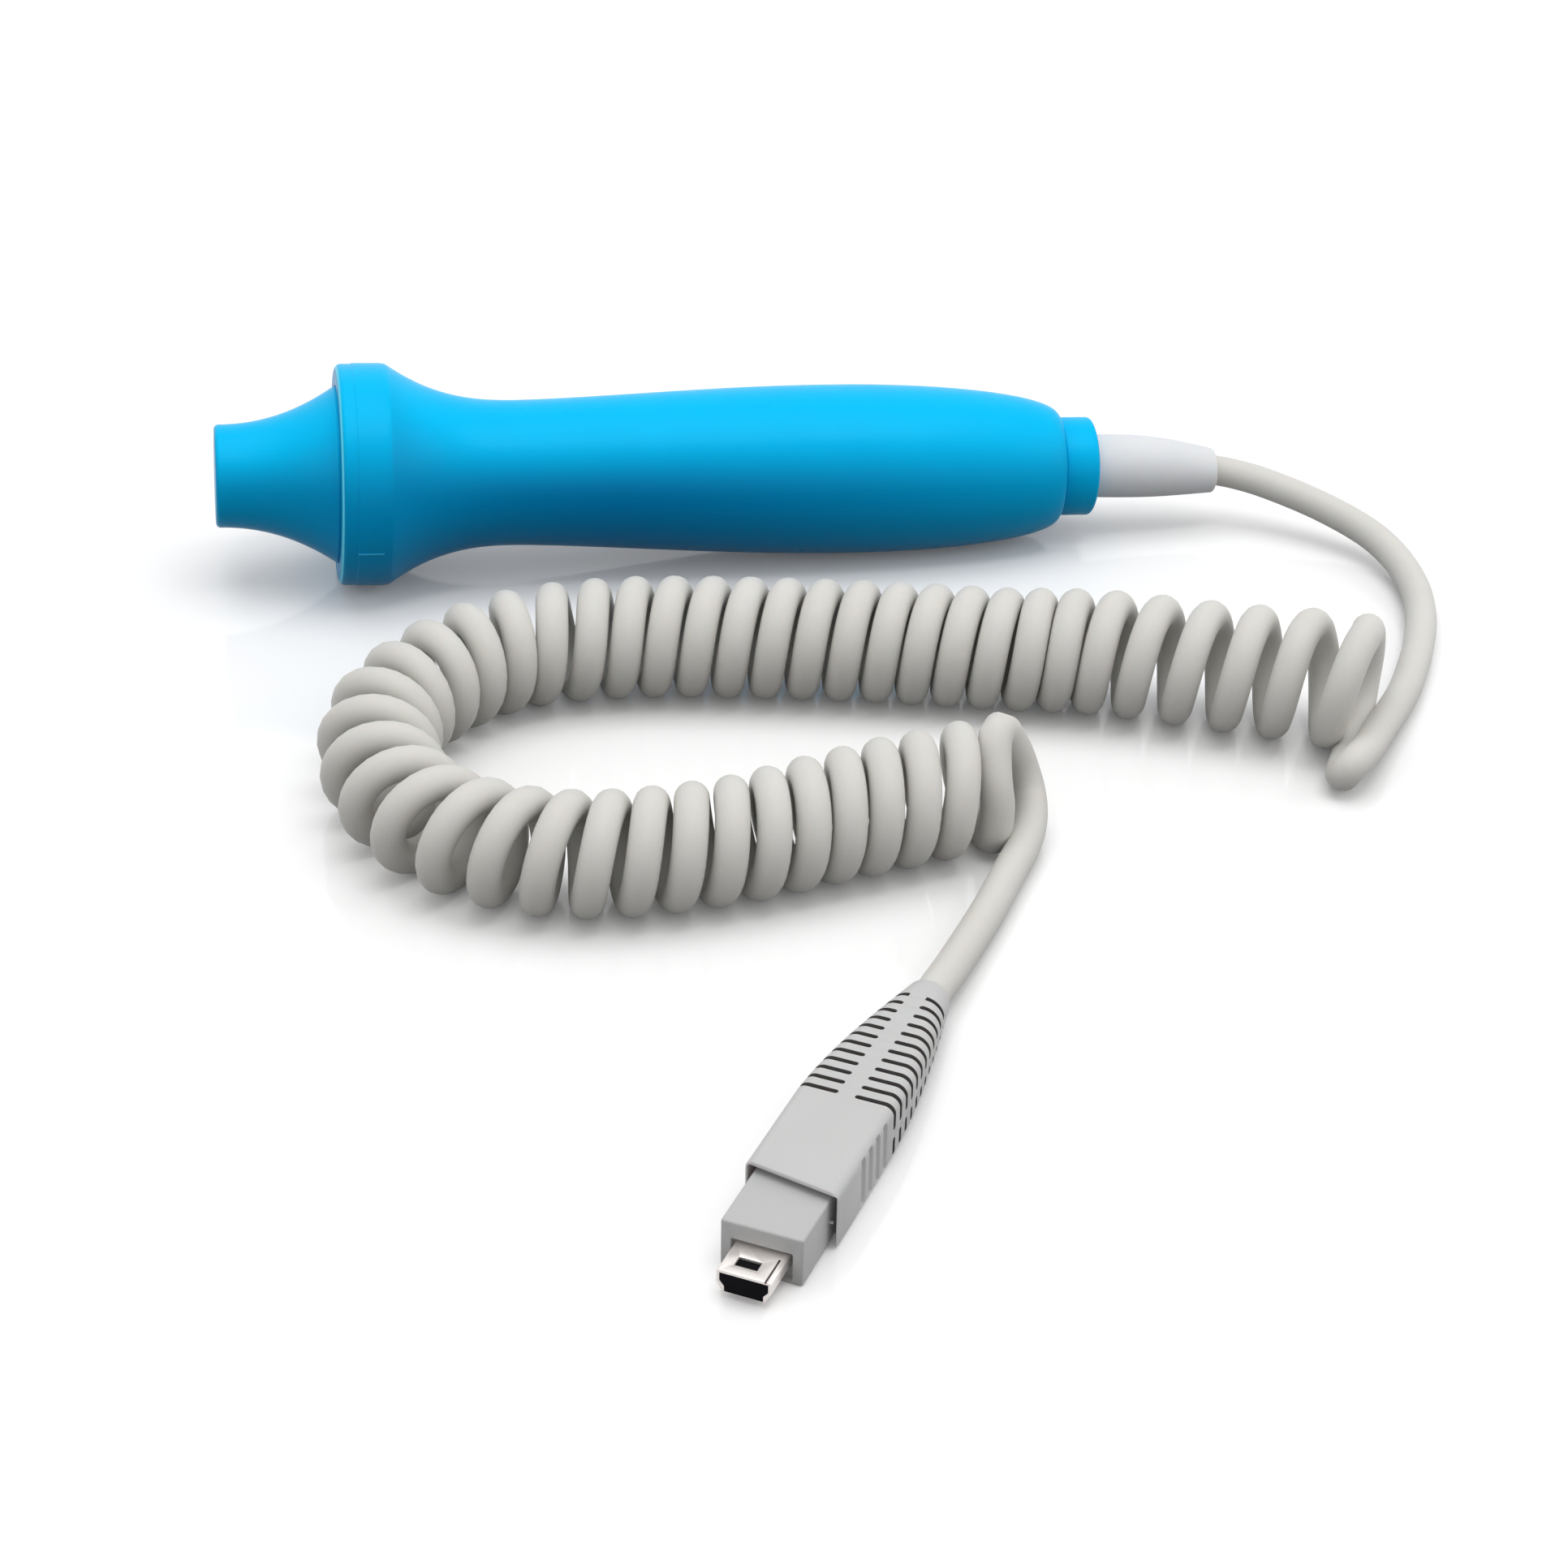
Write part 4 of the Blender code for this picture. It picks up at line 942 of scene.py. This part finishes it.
    def nose(self) -> None:
        """Cone with its thin window, the step that seats in the flange, and the spigot."""
        base, edge = self.cone_length + self.cone_step, self.cone_edge
        profile = [(0.0, self.window), (self.pocket_r, self.window),
                   (self.pocket_r, self.pocket_end), (self.spigot_in_r, self.seat_z),
                   (self.spigot_in_r, self.spigot_end), (self.spigot_r, self.spigot_end),
                   *self.groove(self.spigot_r, self.seal_at, self.seal_depth),
                   (self.spigot_r, base), (self.cone_r, base)]
        for share in reversed(shares(40)):
            profile.append((self.tip_r + (self.cone_r - self.tip_r) * share ** self.cone_power,
                            edge + (self.cone_length - edge) * share))
        profile += arc((self.tip_r - edge, edge), edge, -15.0, -90.0, 6)
        profile += [(self.tip_flat * self.tip_r, 0.0), (0.0, 0.0)]
        # painted shade toward the bottom of the nose
        self.mark_underside_shade(self.place(turn(profile, self.steps), "nose_cone"))

    def handle(self) -> None:
        """Flange, neck and belly in one moulding, with its bore."""
        edge, front = self.tail_edge, self.flange_front
        profile = arc((self.tail_r - edge - self.tail_step, self.tail_at - edge), edge, 90.0,
                      10.0, 6)
        for share in shares(40, 1)[:-1]:
            angle = math.radians(self.tail_turn * (1.0 - share))
            profile.append((self.tail_r + (self.belly_r - self.tail_r) * math.cos(angle),
                            self.belly_at + (self.tail_at - self.belly_at) * math.sin(angle)))
        for share in shares(44):
            swell = math.sin((1.0 - share) * QUARTER) ** self.belly_power
            profile.append((self.neck_r + (self.belly_r - self.neck_r) * swell,
                            self.belly_at + (self.neck_at - self.belly_at) * share))
        for share in shares(36, 1):
            back = (1.0 - share) ** 1.5
            flare = (self.flange_r - self.neck_r) * (1.0 - back) ** self.neck_power
            profile.append((self.neck_r + flare - self.flange_sink * share ** 8,
                            self.flange_end + (self.neck_at - self.flange_end) * back))
        ridge, inner = front + self.ridge_at, self.flange_r - self.ridge
        profile += [(self.flange_r, self.flange_end - self.flange_back),
                    (self.flange_r, ridge + self.ridge_width), (inner, ridge)]
        profile += arc((inner - self.flange_edge, front + self.flange_edge), self.flange_edge,
                       0.0, -90.0, 12)
        seat, lip = self.cone_r + self.seat_gap, self.seat_edge
        step = self.cone_length + self.cone_step + self.fit
        profile += arc((seat + lip, front + lip), lip, -90.0, -180.0, 3)
        profile += [(seat, step), (self.spigot_r + self.fit, step), *self.bore,
                    (self.bore[-1][0], self.tail_at)]
        build = turn(profile, self.steps)
        self.add_parting(build, ridge)
        # painted highlight: full on the flange's front rim, in part on the parting ridge
        painted_light = []
        for vert in build.verts:
            radius = vert.co.xy.length
            rim = (vert.co.z < front + self.rim_depth * self.flange_edge
                   and radius > inner - self.rim)
            painted_light.append(self.parting_highlight if radius > self.flange_r + 0.00002 else float(rim))
        mesh = self.place(build, "handle_body")
        # painted shade toward the bottom of the handle
        self.mark_underside_shade(mesh)
        mesh.attributes.new(EDGE_HIGHLIGHT_MARK, "FLOAT", "POINT").data.foreach_set("value", painted_light)

    def add_parting(self, build: Build, start: float) -> None:
        """Add the fine ridge that the mould's halves leave on both sides of the flange.

        Args:
            build: The handle's bmesh.
            start: Where along the probe the ridge starts.
        """
        proud, wide, short = self.parting
        deep, end = self.parting_root, self.flange_end - short
        spot = Vector((self.flange_r + proud - 0.5 * deep, 0.0, 0.5 * (start + end)))
        bar = Matrix.LocRotScale(spot, None, Vector((deep, wide, end - start)))
        for half in (0.0, math.pi):
            way = Matrix.Rotation(half - QUARTER + self.parting_low, 4, "Z")
            bmesh.ops.create_cube(build, size=1.0, matrix=way @ bar)

    def collar(self) -> None:
        """Tail collar with its spigot in the handle."""
        start = self.tail_at + self.fit
        end, front = start + self.collar_length, start - self.collar_spigot
        spigot, seat_r = self.bore[-1][0] - self.fit, self.relief_base + self.fit
        seat, edge, lip = end - self.relief_seat, self.collar_edge, self.collar_lip
        profile = [(seat_r, seat), *arc((seat_r + lip, end - lip), lip, 180.0, 90.0, 3),
                   *arc((self.collar_r - edge, end - edge), edge, 90.0, 0.0, 8),
                   *arc((self.collar_r - lip, start + lip), lip, 0.0, -90.0, 4),
                   (spigot, start),
                   *self.groove(spigot, start - self.rear_seal_before, self.rear_seal_depth),
                   (spigot, front), (self.collar_bore, front), (self.collar_bore, seat)]
        # painted shade toward the bottom of the collar
        self.mark_underside_shade(self.place(turn(profile, self.small_steps), "tail_collar"))

    def relief(self) -> None:
        """Strain relief, tapered and swollen, bent by the cord's weight, with the cord's hole."""
        base = self.tail_at + self.fit + self.collar_length
        tip, seat = base + self.relief_length, base - self.relief_seat + self.fit
        face, edge = self.tail_at - self.collar_spigot, self.relief_edge
        hole, bottom, lip = self.cord_hole_r, tip - self.cord_hole_depth, self.seat_edge
        profile = [(0.0, bottom), (hole, bottom),
                   *arc((hole + lip, tip - lip), lip, 180.0, 90.0, 3),
                   *arc((self.relief_tip - edge, tip - edge), edge, 90.0, 4.0, 6)]
        for share in shares(28, 1):
            radius = self.relief_tip + (self.relief_base - self.relief_tip) * share
            profile.append((radius + self.relief_swell * math.sin(math.pi * share),
                            tip - edge + (base - tip + edge) * share))
        neck, flange = self.collar_bore - self.fit, self.bore[-1][0] - 2.0 * self.fit
        back = face - self.relief_flange
        profile += [(self.relief_base, seat), (neck, seat), (neck, face), (flange, face),
                    (flange, back), (0.0, back)]
        build = turn(profile, self.relief_steps)
        for vert in build.verts:
            share = max(0.0, (vert.co.z - base) / self.relief_length)
            vert.co += Vector(self.relief_bend) * share * share
        self.place(build, "strain_relief", "relief_grey")

    def build(self) -> None:
        """Make the four turned pieces."""
        for make in (self.nose, self.handle, self.collar, self.relief):
            make()


@dataclass
class Plug(Assembly):
    """The moulded plug: boot and body, front block, metal tongue and insulator.

    Its own +X points out of its mouth.
    """

    at: Pair = (-0.01838, -0.17199)
    heading: float = math.radians(-121.47)
    length: float = 0.0482
    body_start: float = -0.0180
    body_end: float = -0.0060       # where the lower corners are fully tightened
    straight_end: float = -0.0045
    end_r: float = 0.00285
    end_edge: float = 0.0005
    half_w: float = 0.0063
    half_h: float = 0.0041
    corner_r: float = 0.0013
    low_corner: float = 0.45        # the lower corners' share of the upper ones' radius
    least_corner: float = 0.0002
    corner_spans: int = 10
    taper_spans: int = 22
    width_power: float = 1.05
    corner_power: float = 0.8
    droop_power: float = 1.3
    end_rings: tuple[Pair, ...] = (     # way in from the boot's end, and share of its edge
        (0.0, 1.0), (0.00007, 0.6), (0.00025, 0.2))
    mouth_rings: tuple[Pair, ...] = (   # way back from the mouth, and inset
        (0.0003, 0.0), (0.0001, 0.00006), (0.0, 0.00022))
    droop: float = 0.00055
    hole: Pair = (0.00252, 0.0036)      # the cord's hole: its radius, and twice its depth
    boot_edge: float = 0.00009
    mouth_back: float = 0.0009
    mouth_skew: float = math.radians(9.0)
    mouth_clear: float = 0.0009
    mouth_side: float = 0.00085
    mouth_depth: float = 0.0028
    mouth_shift: float = 0.00012
    mouth_edge: float = 0.0004
    slot_count: int = 12
    slot_first: float = -0.0187
    slot_pitch: float = 0.00225
    slot_width: float = 0.00080
    slot_depth: float = 0.0017
    slot_skin: float = 0.00012
    slot_spans: int = 10
    spine: float = 0.0011
    web: float = 0.0006
    groove_count: int = 4
    groove_first: float = -0.0083
    groove_pitch: float = 0.0024
    groove_r: float = 0.00075
    groove_depth: float = 0.0004
    groove_half_h: float = 0.0034
    block_half_w: float = 0.0052
    block_half_h: float = 0.0031
    block_foot: float = 0.0005      # how much lower its visible end reaches
    block_reach: float = 0.0080
    block_depth: float = 0.0060
    block_drop: float = 0.0004
    block_edge: float = 0.00032
    block_soft: float = 0.00006
    recess: Triple = (0.0012, 0.0005, 0.00025)      # its depth, its gap and its edge
    rib: Triple = (0.0004, 0.0006, 0.00020)
    rib_at: float = -0.0002
    tongue_half_w: float = 0.0034
    tongue_half_h: float = 0.00155
    tongue_reach: float = 0.0053
    tongue_wall: float = 0.00035
    tongue_drop: float = 0.0013
    tongue_edge: Pair = (0.00025, 0.00008)      # its corners' radius, and the least inside
    tongue_soft: float = 0.00005
    notch: float = 0.0006
    window: Pair = (0.0016, 0.0029)
    window_at: Pair = (0.0023, -0.0004)     # its way from the front, and aside
    seam: Triple = (0.0044, 0.00026, 0.00070)   # its length, width and way from the edge
    seam_depth: float = 0.00018
    lip: float = 0.0005             # the insulator's black front lip fills the mouth, as painted shade for the dark inside
    lip_drop: float = 0.00028
    lip_cut: float = 0.0008         # twice how deep the tongue is cut away under the lip
    core_half_h: float = 0.00075
    core_side: float = 0.0003
    core_edge: float = 0.0001
    fit: float = 0.0001
    pieces: list[Piece] = field(default_factory=list)

    @property
    def low(self) -> float:
        """Height of the tongue's middle."""
        return -self.block_drop - self.tongue_drop

    @property
    def root(self) -> float:
        """Where the tongue starts, at the bottom of the block's recess."""
        return self.block_reach - self.recess[0] + self.fit

    def place(self, mesh: Mesh, node: str, finish: str) -> None:
        """Put a mesh where the plug lies and link it.

        Args:
            mesh: The mesh.
            node: The CAD node that it stands for.
            finish: The name of its finish.
        """
        mesh.transform(Matrix.LocRotScale(Vector((*self.at, self.half_h)),
                                          Euler((0.0, 0.0, self.heading)), None))
        self.pieces.append(self.dress(mesh, node, finish))

    def section(self, x: float) -> tuple[float, float, float, float]:
        """Half width, half height, corner radius and droop of the boot and body.

        Args:
            x: Where along the plug.

        Returns:
            The four sizes.
        """
        share = min(max((x + self.length) / (self.body_start + self.length), 0.0), 1.0)
        swell = math.sin(share * QUARTER) ** self.width_power
        return (self.end_r + (self.half_w - self.end_r) * swell,
                self.end_r + (self.half_h - self.end_r) * share,
                self.end_r + (self.corner_r - self.end_r) * share ** self.corner_power,
                self.droop * (1.0 - share) ** self.droop_power)

    def ring(self, build: Build, x: float, inset: float, skew: float) -> list:
        """Lay one rounded section as a loop of edges.

        Args:
            build: The bmesh.
            x: Where along the plug.
            inset: How far inside the full section.
            skew: How far the section leans, as an angle.

        Returns:
            The loop's edges.
        """
        half_w, half_h, corner, droop = self.section(x)
        half_w, half_h = half_w - inset, half_h - inset
        full = max(min(corner, half_w - 0.0001, half_h - 0.0001) - inset, self.least_corner)
        share = min(max((x - self.body_start) / (self.body_end - self.body_start), 0.0), 1.0)
        low = max(full * (1.0 - (1.0 - self.low_corner) * share), self.least_corner)
        verts = []
        for quarter, (side, over) in enumerate(((1, 1), (-1, 1), (-1, -1), (1, -1))):
            radius = full if over > 0 else low
            for share in shares(self.corner_spans):
                angle = (quarter + share) * QUARTER
                y = side * (half_w - radius) + radius * math.cos(angle)
                z = over * (half_h - radius) + radius * math.sin(angle)
                verts.append(build.verts.new((x + y * math.tan(skew), y, z - droop)))
        return [build.edges.new(pair) for pair in zip(verts, verts[1:] + verts[:1])]

    def shell(self) -> Build:
        """Skin the boot and body from its sections.

        Returns:
            The closed bmesh.
        """
        end, edge, skew = -self.length, self.end_edge, self.mouth_skew
        taper, front = self.body_start - end - edge, -self.mouth_back
        rings = [(end + way, share * edge, 0.0) for way, share in self.end_rings]
        rings += [(end + edge + taper * share, 0.0, 0.0) for share in shares(self.taper_spans)]
        rings.append((self.straight_end, 0.0, 0.0))
        rings += [(front - way, inset, skew) for way, inset in self.mouth_rings]
        build = bmesh.new()
        loops = [self.ring(build, *ring) for ring in rings]
        for one, two in zip(loops, loops[1:]):
            bmesh.ops.bridge_loops(build, edges=one + two)
        for loop in (loops[0], loops[-1]):
            bmesh.ops.contextual_create(build, geom=loop)
        return build

    def edge_path(self, x: float, grow: float) -> tuple[list[Pair], float]:
        """Points over the boot's edge from its side web to its spine.

        Args:
            x: Where along the plug.
            grow: How far outside the surface.

        Returns:
            The points as (y, z), and the section's droop.
        """
        half_w, half_h, corner, droop = self.section(x)
        flat_w, flat_h = half_w - corner, half_h - corner
        grow = max(grow, -0.85 * corner)
        radius = corner + grow
        first, last = 0.0, QUARTER
        start, end = [], []
        if self.web < flat_h:
            start = [(half_w + grow, self.web)]
        else:
            first = math.asin(min((self.web - flat_h) / radius, 0.9))
        if self.spine < flat_w:
            end = [(self.spine, half_h + grow)]
        else:
            last = math.acos(min((self.spine - flat_w) / radius, 0.9))
        rounded = []
        for share in shares(self.slot_spans - len(start) - len(end)):
            angle = first + (last - first) * share
            rounded.append((flat_w + radius * math.cos(angle),
                            flat_h + radius * math.sin(angle)))
        return start + rounded + end, droop

    def push(self, build: Build, faces: list, reach: float) -> list:
        """Extrude faces along the plug.

        Args:
            build: Their bmesh.
            faces: The faces.
            reach: How far.

        Returns:
            The new vertices.
        """
        grown = bmesh.ops.extrude_face_region(build, geom=faces)["geom"]
        moved = [item for item in grown if isinstance(item, bmesh.types.BMVert)]
        bmesh.ops.translate(build, vec=(reach, 0.0, 0.0), verts=moved)
        return moved

    def slot_tool(self, build: Build, x: float, over: float, side: float) -> None:
        """Add the slab that cuts one slot, with rounded ends.

        Args:
            build: The cutters' bmesh.
            x: Middle of the slot along the plug.
            over: +1 for the upper side, -1 for the lower.
            side: +1 or -1 for the flank.
        """
        wide, count = self.slot_width, self.slot_spans
        low, droop = self.edge_path(x, -self.slot_depth)
        high, _ = self.edge_path(x, 1.5 * self.slot_depth)
        verts = [build.verts.new((x - wide / 2.0, side * y, over * z - droop))
                 for y, z in low + high[::-1]]
        faces = [build.faces.new((verts[i], verts[i + 1], verts[-2 - i], verts[-1 - i]))
                 for i in range(count)]
        moved = self.push(build, faces, wide)
        ahead = Vector((wide, 0.0, 0.0))
        pairs = [(verts[i], verts[-1 - i]) for i in (0, count)]
        pairs += [[min(moved, key=lambda vert: (vert.co - spot.co - ahead).length)
                   for spot in pair] for pair in pairs]
        bmesh.ops.bevel(build, geom=[build.edges.get(pair) for pair in pairs],
                        offset=0.46 * wide, segments=4, affect="EDGES", profile=0.5,
                        material=-1)

    def boot(self) -> None:
        """Moulded boot and body with slots, side grooves, mouth and the cord's hole."""
        slots, grooves, hole = bmesh.new(), bmesh.new(), bmesh.new()
        for index in range(self.slot_count):
            for over in (1.0, -1.0):
                for side in (1.0, -1.0):
                    self.slot_tool(slots, self.slot_first - self.slot_pitch * index, over, side)
        away = self.half_w + self.groove_r - self.groove_depth
        for index in range(self.groove_count):
            for side in (away, -away):
                spot = (self.groove_first - self.groove_pitch * index, side, 0.0)
                rod(grooves, self.groove_r, 2.0 * self.groove_half_h, 32,
                    Matrix.Translation(spot))
        rod(hole, *self.hole, 48, Matrix.Translation((-self.length, 0.0, -self.droop))
            @ Matrix.Rotation(QUARTER, 4, "Y"))
        w, h, drop = self.block_half_w, self.block_half_h, self.block_drop
        pocket = box((2.0 * self.block_depth, 2.0 * (w + self.fit), 2.0 * (h + self.fit)),
                     (0.0, 0.0, -drop))
        mouth = box((2.0 * self.mouth_depth, 2.0 * (w + self.mouth_side),
                     2.0 * (h + self.mouth_clear)), (-self.mouth_back, self.mouth_shift, -drop),
                    self.mouth_edge)
        for vert in mouth.verts:
            vert.co.x += vert.co.y * math.tan(self.mouth_skew)
        mesh = flesh(self.shell())
        for tool in (slots, grooves, pocket, mouth, hole):
            mesh = carve(mesh, tool)
        mesh = soften(mesh, self.boot_edge, 40.0, 45.0)
        # painted shade inside the slots
        self.mark_slot_shade(mesh)
        self.place(mesh, "plug_boot", "plug_grey")

    def mark_slot_shade(self, mesh: Mesh) -> None:
        """Mark the walls inside the slots, which are painted with shade.

        Args:
            mesh: The boot, before it is put in its place.
        """
        marks = mesh.attributes.new(RECESS_SHADE_MARK, "FLOAT", "FACE").data
        end = self.slot_first - self.slot_pitch * (self.slot_count - 1) - self.slot_width
        for face, mark in zip(mesh.polygons, marks):
            x, y, z = face.center
            half_w, half_h, corner, droop = self.section(x)
            flat_w, flat_h = abs(y) - half_w, abs(z + droop) - half_h
            over = Vector((max(flat_w + corner, 0.0), max(flat_h + corner, 0.0))).length
            depth = corner - over if over > 0.0 else -max(flat_w, flat_h)
            mark.value = float(end < x < self.slot_first + self.slot_width
                               and depth > self.slot_skin)

    def block(self) -> None:
        """Front block with the recess round the tongue and a small rib on its flank."""
        w, h, drop = self.block_half_w, self.block_half_h, self.block_drop
        back = -self.block_depth + self.fit
        length = self.block_reach - back
        start = box((length, 2.0 * w, 2.0 * h), (back + length / 2.0, 0.0, -drop),
                    self.block_edge, 4)
        for vert in start.verts:
            if vert.co.x > 0.0 and vert.co.z < -drop:
                vert.co.z -= self.block_foot
        depth, gap, edge = self.recess
        recess = box((2.0 * depth, 2.0 * (self.tongue_half_w + gap),
                      2.0 * (self.tongue_half_h + gap)), (self.block_reach, 0.0, self.low), edge)
        body = carve(flesh(start), recess)
        build = bmesh.new()
        build.from_mesh(body)
        spot = Vector((self.rib_at, w + 0.4 * self.rib[1], -drop))
        bmesh.ops.create_cube(build, size=1.0,
                              matrix=Matrix.LocRotScale(spot, None, Vector(self.rib)))
        self.place(soften(flesh(build), self.block_soft, 50.0, 40.0), "plug_front_block",
                   "block_grey")

    def keyed(self, wall: float) -> list[Pair]:
        """Outline of the keyed plug section, its lower corners stepped in by soft curves.

        Args:
            wall: How far inside the outer face.

        Returns:
            The outline as (y, z) points.
        """
        w, h, notch = self.tongue_half_w - wall, self.tongue_half_h - wall, self.notch
        edge = max(self.tongue_edge[0] - 0.5 * wall, self.tongue_edge[1])
        right = [*arc((w - edge, h - edge), edge, 90.0, 0.0, 4),
                 *arc((w - edge, -h + 2.0 * notch + edge), edge, 0.0, -60.0, 3),
                 *arc((w - notch + edge, -h + notch - edge), edge, 120.0, 180.0, 3),
                 *arc((w - notch - edge, -h + edge), edge, 0.0, -90.0, 3)]
        return right + [(-y, z) for y, z in reversed(right)]

    def tongue(self) -> None:
        """Metal shroud with its window and the seam that is folded over its edge."""
        low, w, h = self.low, self.tongue_half_w, self.tongue_half_h
        end = self.block_reach + self.tongue_reach
        build, loops = bmesh.new(), []
        for wall in (0.0, self.tongue_wall):
            verts = [build.verts.new((self.root, y, z + low)) for y, z in self.keyed(wall)]
            loops += [build.edges.new(pair) for pair in zip(verts, verts[1:] + verts[:1])]
        faces = bmesh.ops.bridge_loops(build, edges=loops)["faces"]
        self.push(build, faces, end - self.root)
        ahead, aside = self.window_at
        window = box((*self.window, h), (end - ahead, aside, low + h), self.core_edge, 2)
        length, wide, way = self.seam
        seam = box((length, wide, 2.0 * self.seam_depth), (end - 0.5 * length, w - way, low + h))
        # cut the shroud's lower front away under the black lip that paints the shade in the mouth
        mouth = box((2.0 * (self.lip + self.fit), 2.0 * (w - self.tongue_wall - self.notch),
                     self.lip_cut), (end, 0.0, low - h))
        mesh = flesh(build)
        for tool in (window, seam, mouth):
            mesh = carve(mesh, tool)
        mesh = soften(mesh, self.tongue_soft, 40.0, 40.0)
        # painted shade on the floor of the seam
        marks = mesh.attributes.new(RECESS_SHADE_MARK, "FLOAT", "FACE").data
        for face, mark in zip(mesh.polygons, marks):
            off, sunk = abs(face.center.y - w + way), low + h - face.center.z
            mark.value = float(off < 0.55 * wide and 0.00002 < sunk < 0.0003)
        self.place(mesh, "plug_tongue", "nickel")

    def insulator(self) -> None:
        """Black insulator in the upper half of the shroud, with a black lip that fills its mouth
        as painted shade for the dark inside.
        """
        low, half_h, inset = self.low, self.core_half_h, self.tongue_wall + self.fit * 0.5
        end = self.block_reach + self.tongue_reach - 0.5 * self.fit - self.lip
        top = self.tongue_half_h - inset
        build = box((end - self.root, 2.0 * (self.tongue_half_w - inset - self.core_side),
                     2.0 * half_h), (0.5 * (self.root + end), 0.0, low + top - half_h),
                    self.core_edge, 2)
        # the lip across the whole mouth is black plastic put there as painted shade for the dark
        # inside
        verts = []
        for y, z in self.keyed(inset):
            drop = self.lip_drop if z < 0.00025 - top else 0.0
            verts.append(build.verts.new((end, y, z + low - drop)))
        self.push(build, [build.faces.new(verts)], self.lip)
        self.place(flesh(build), "plug_insulator", "black_plastic")

    def build(self) -> list[Piece]:
        """Make the plug's pieces.

        Returns:
            The pieces.
        """
        for make in (self.boot, self.block, self.tongue, self.insulator):
            make()
        return self.pieces


def main() -> None:
    """Load the frame, make the camera and cord first, then every other piece."""
    logging.basicConfig(level=logging.INFO, format="%(message)s")
    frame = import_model()
    PhotoCamera().build()
    Studio().build()
    dresser = Dresser(frame["record"])
    dresser.dress_nodes(frame["nodes"])
    cord, length = Cord(dresser).build()
    Housing(dresser).build()
    pieces = Plug(dresser).build()


if __name__ == "__main__":
    main()
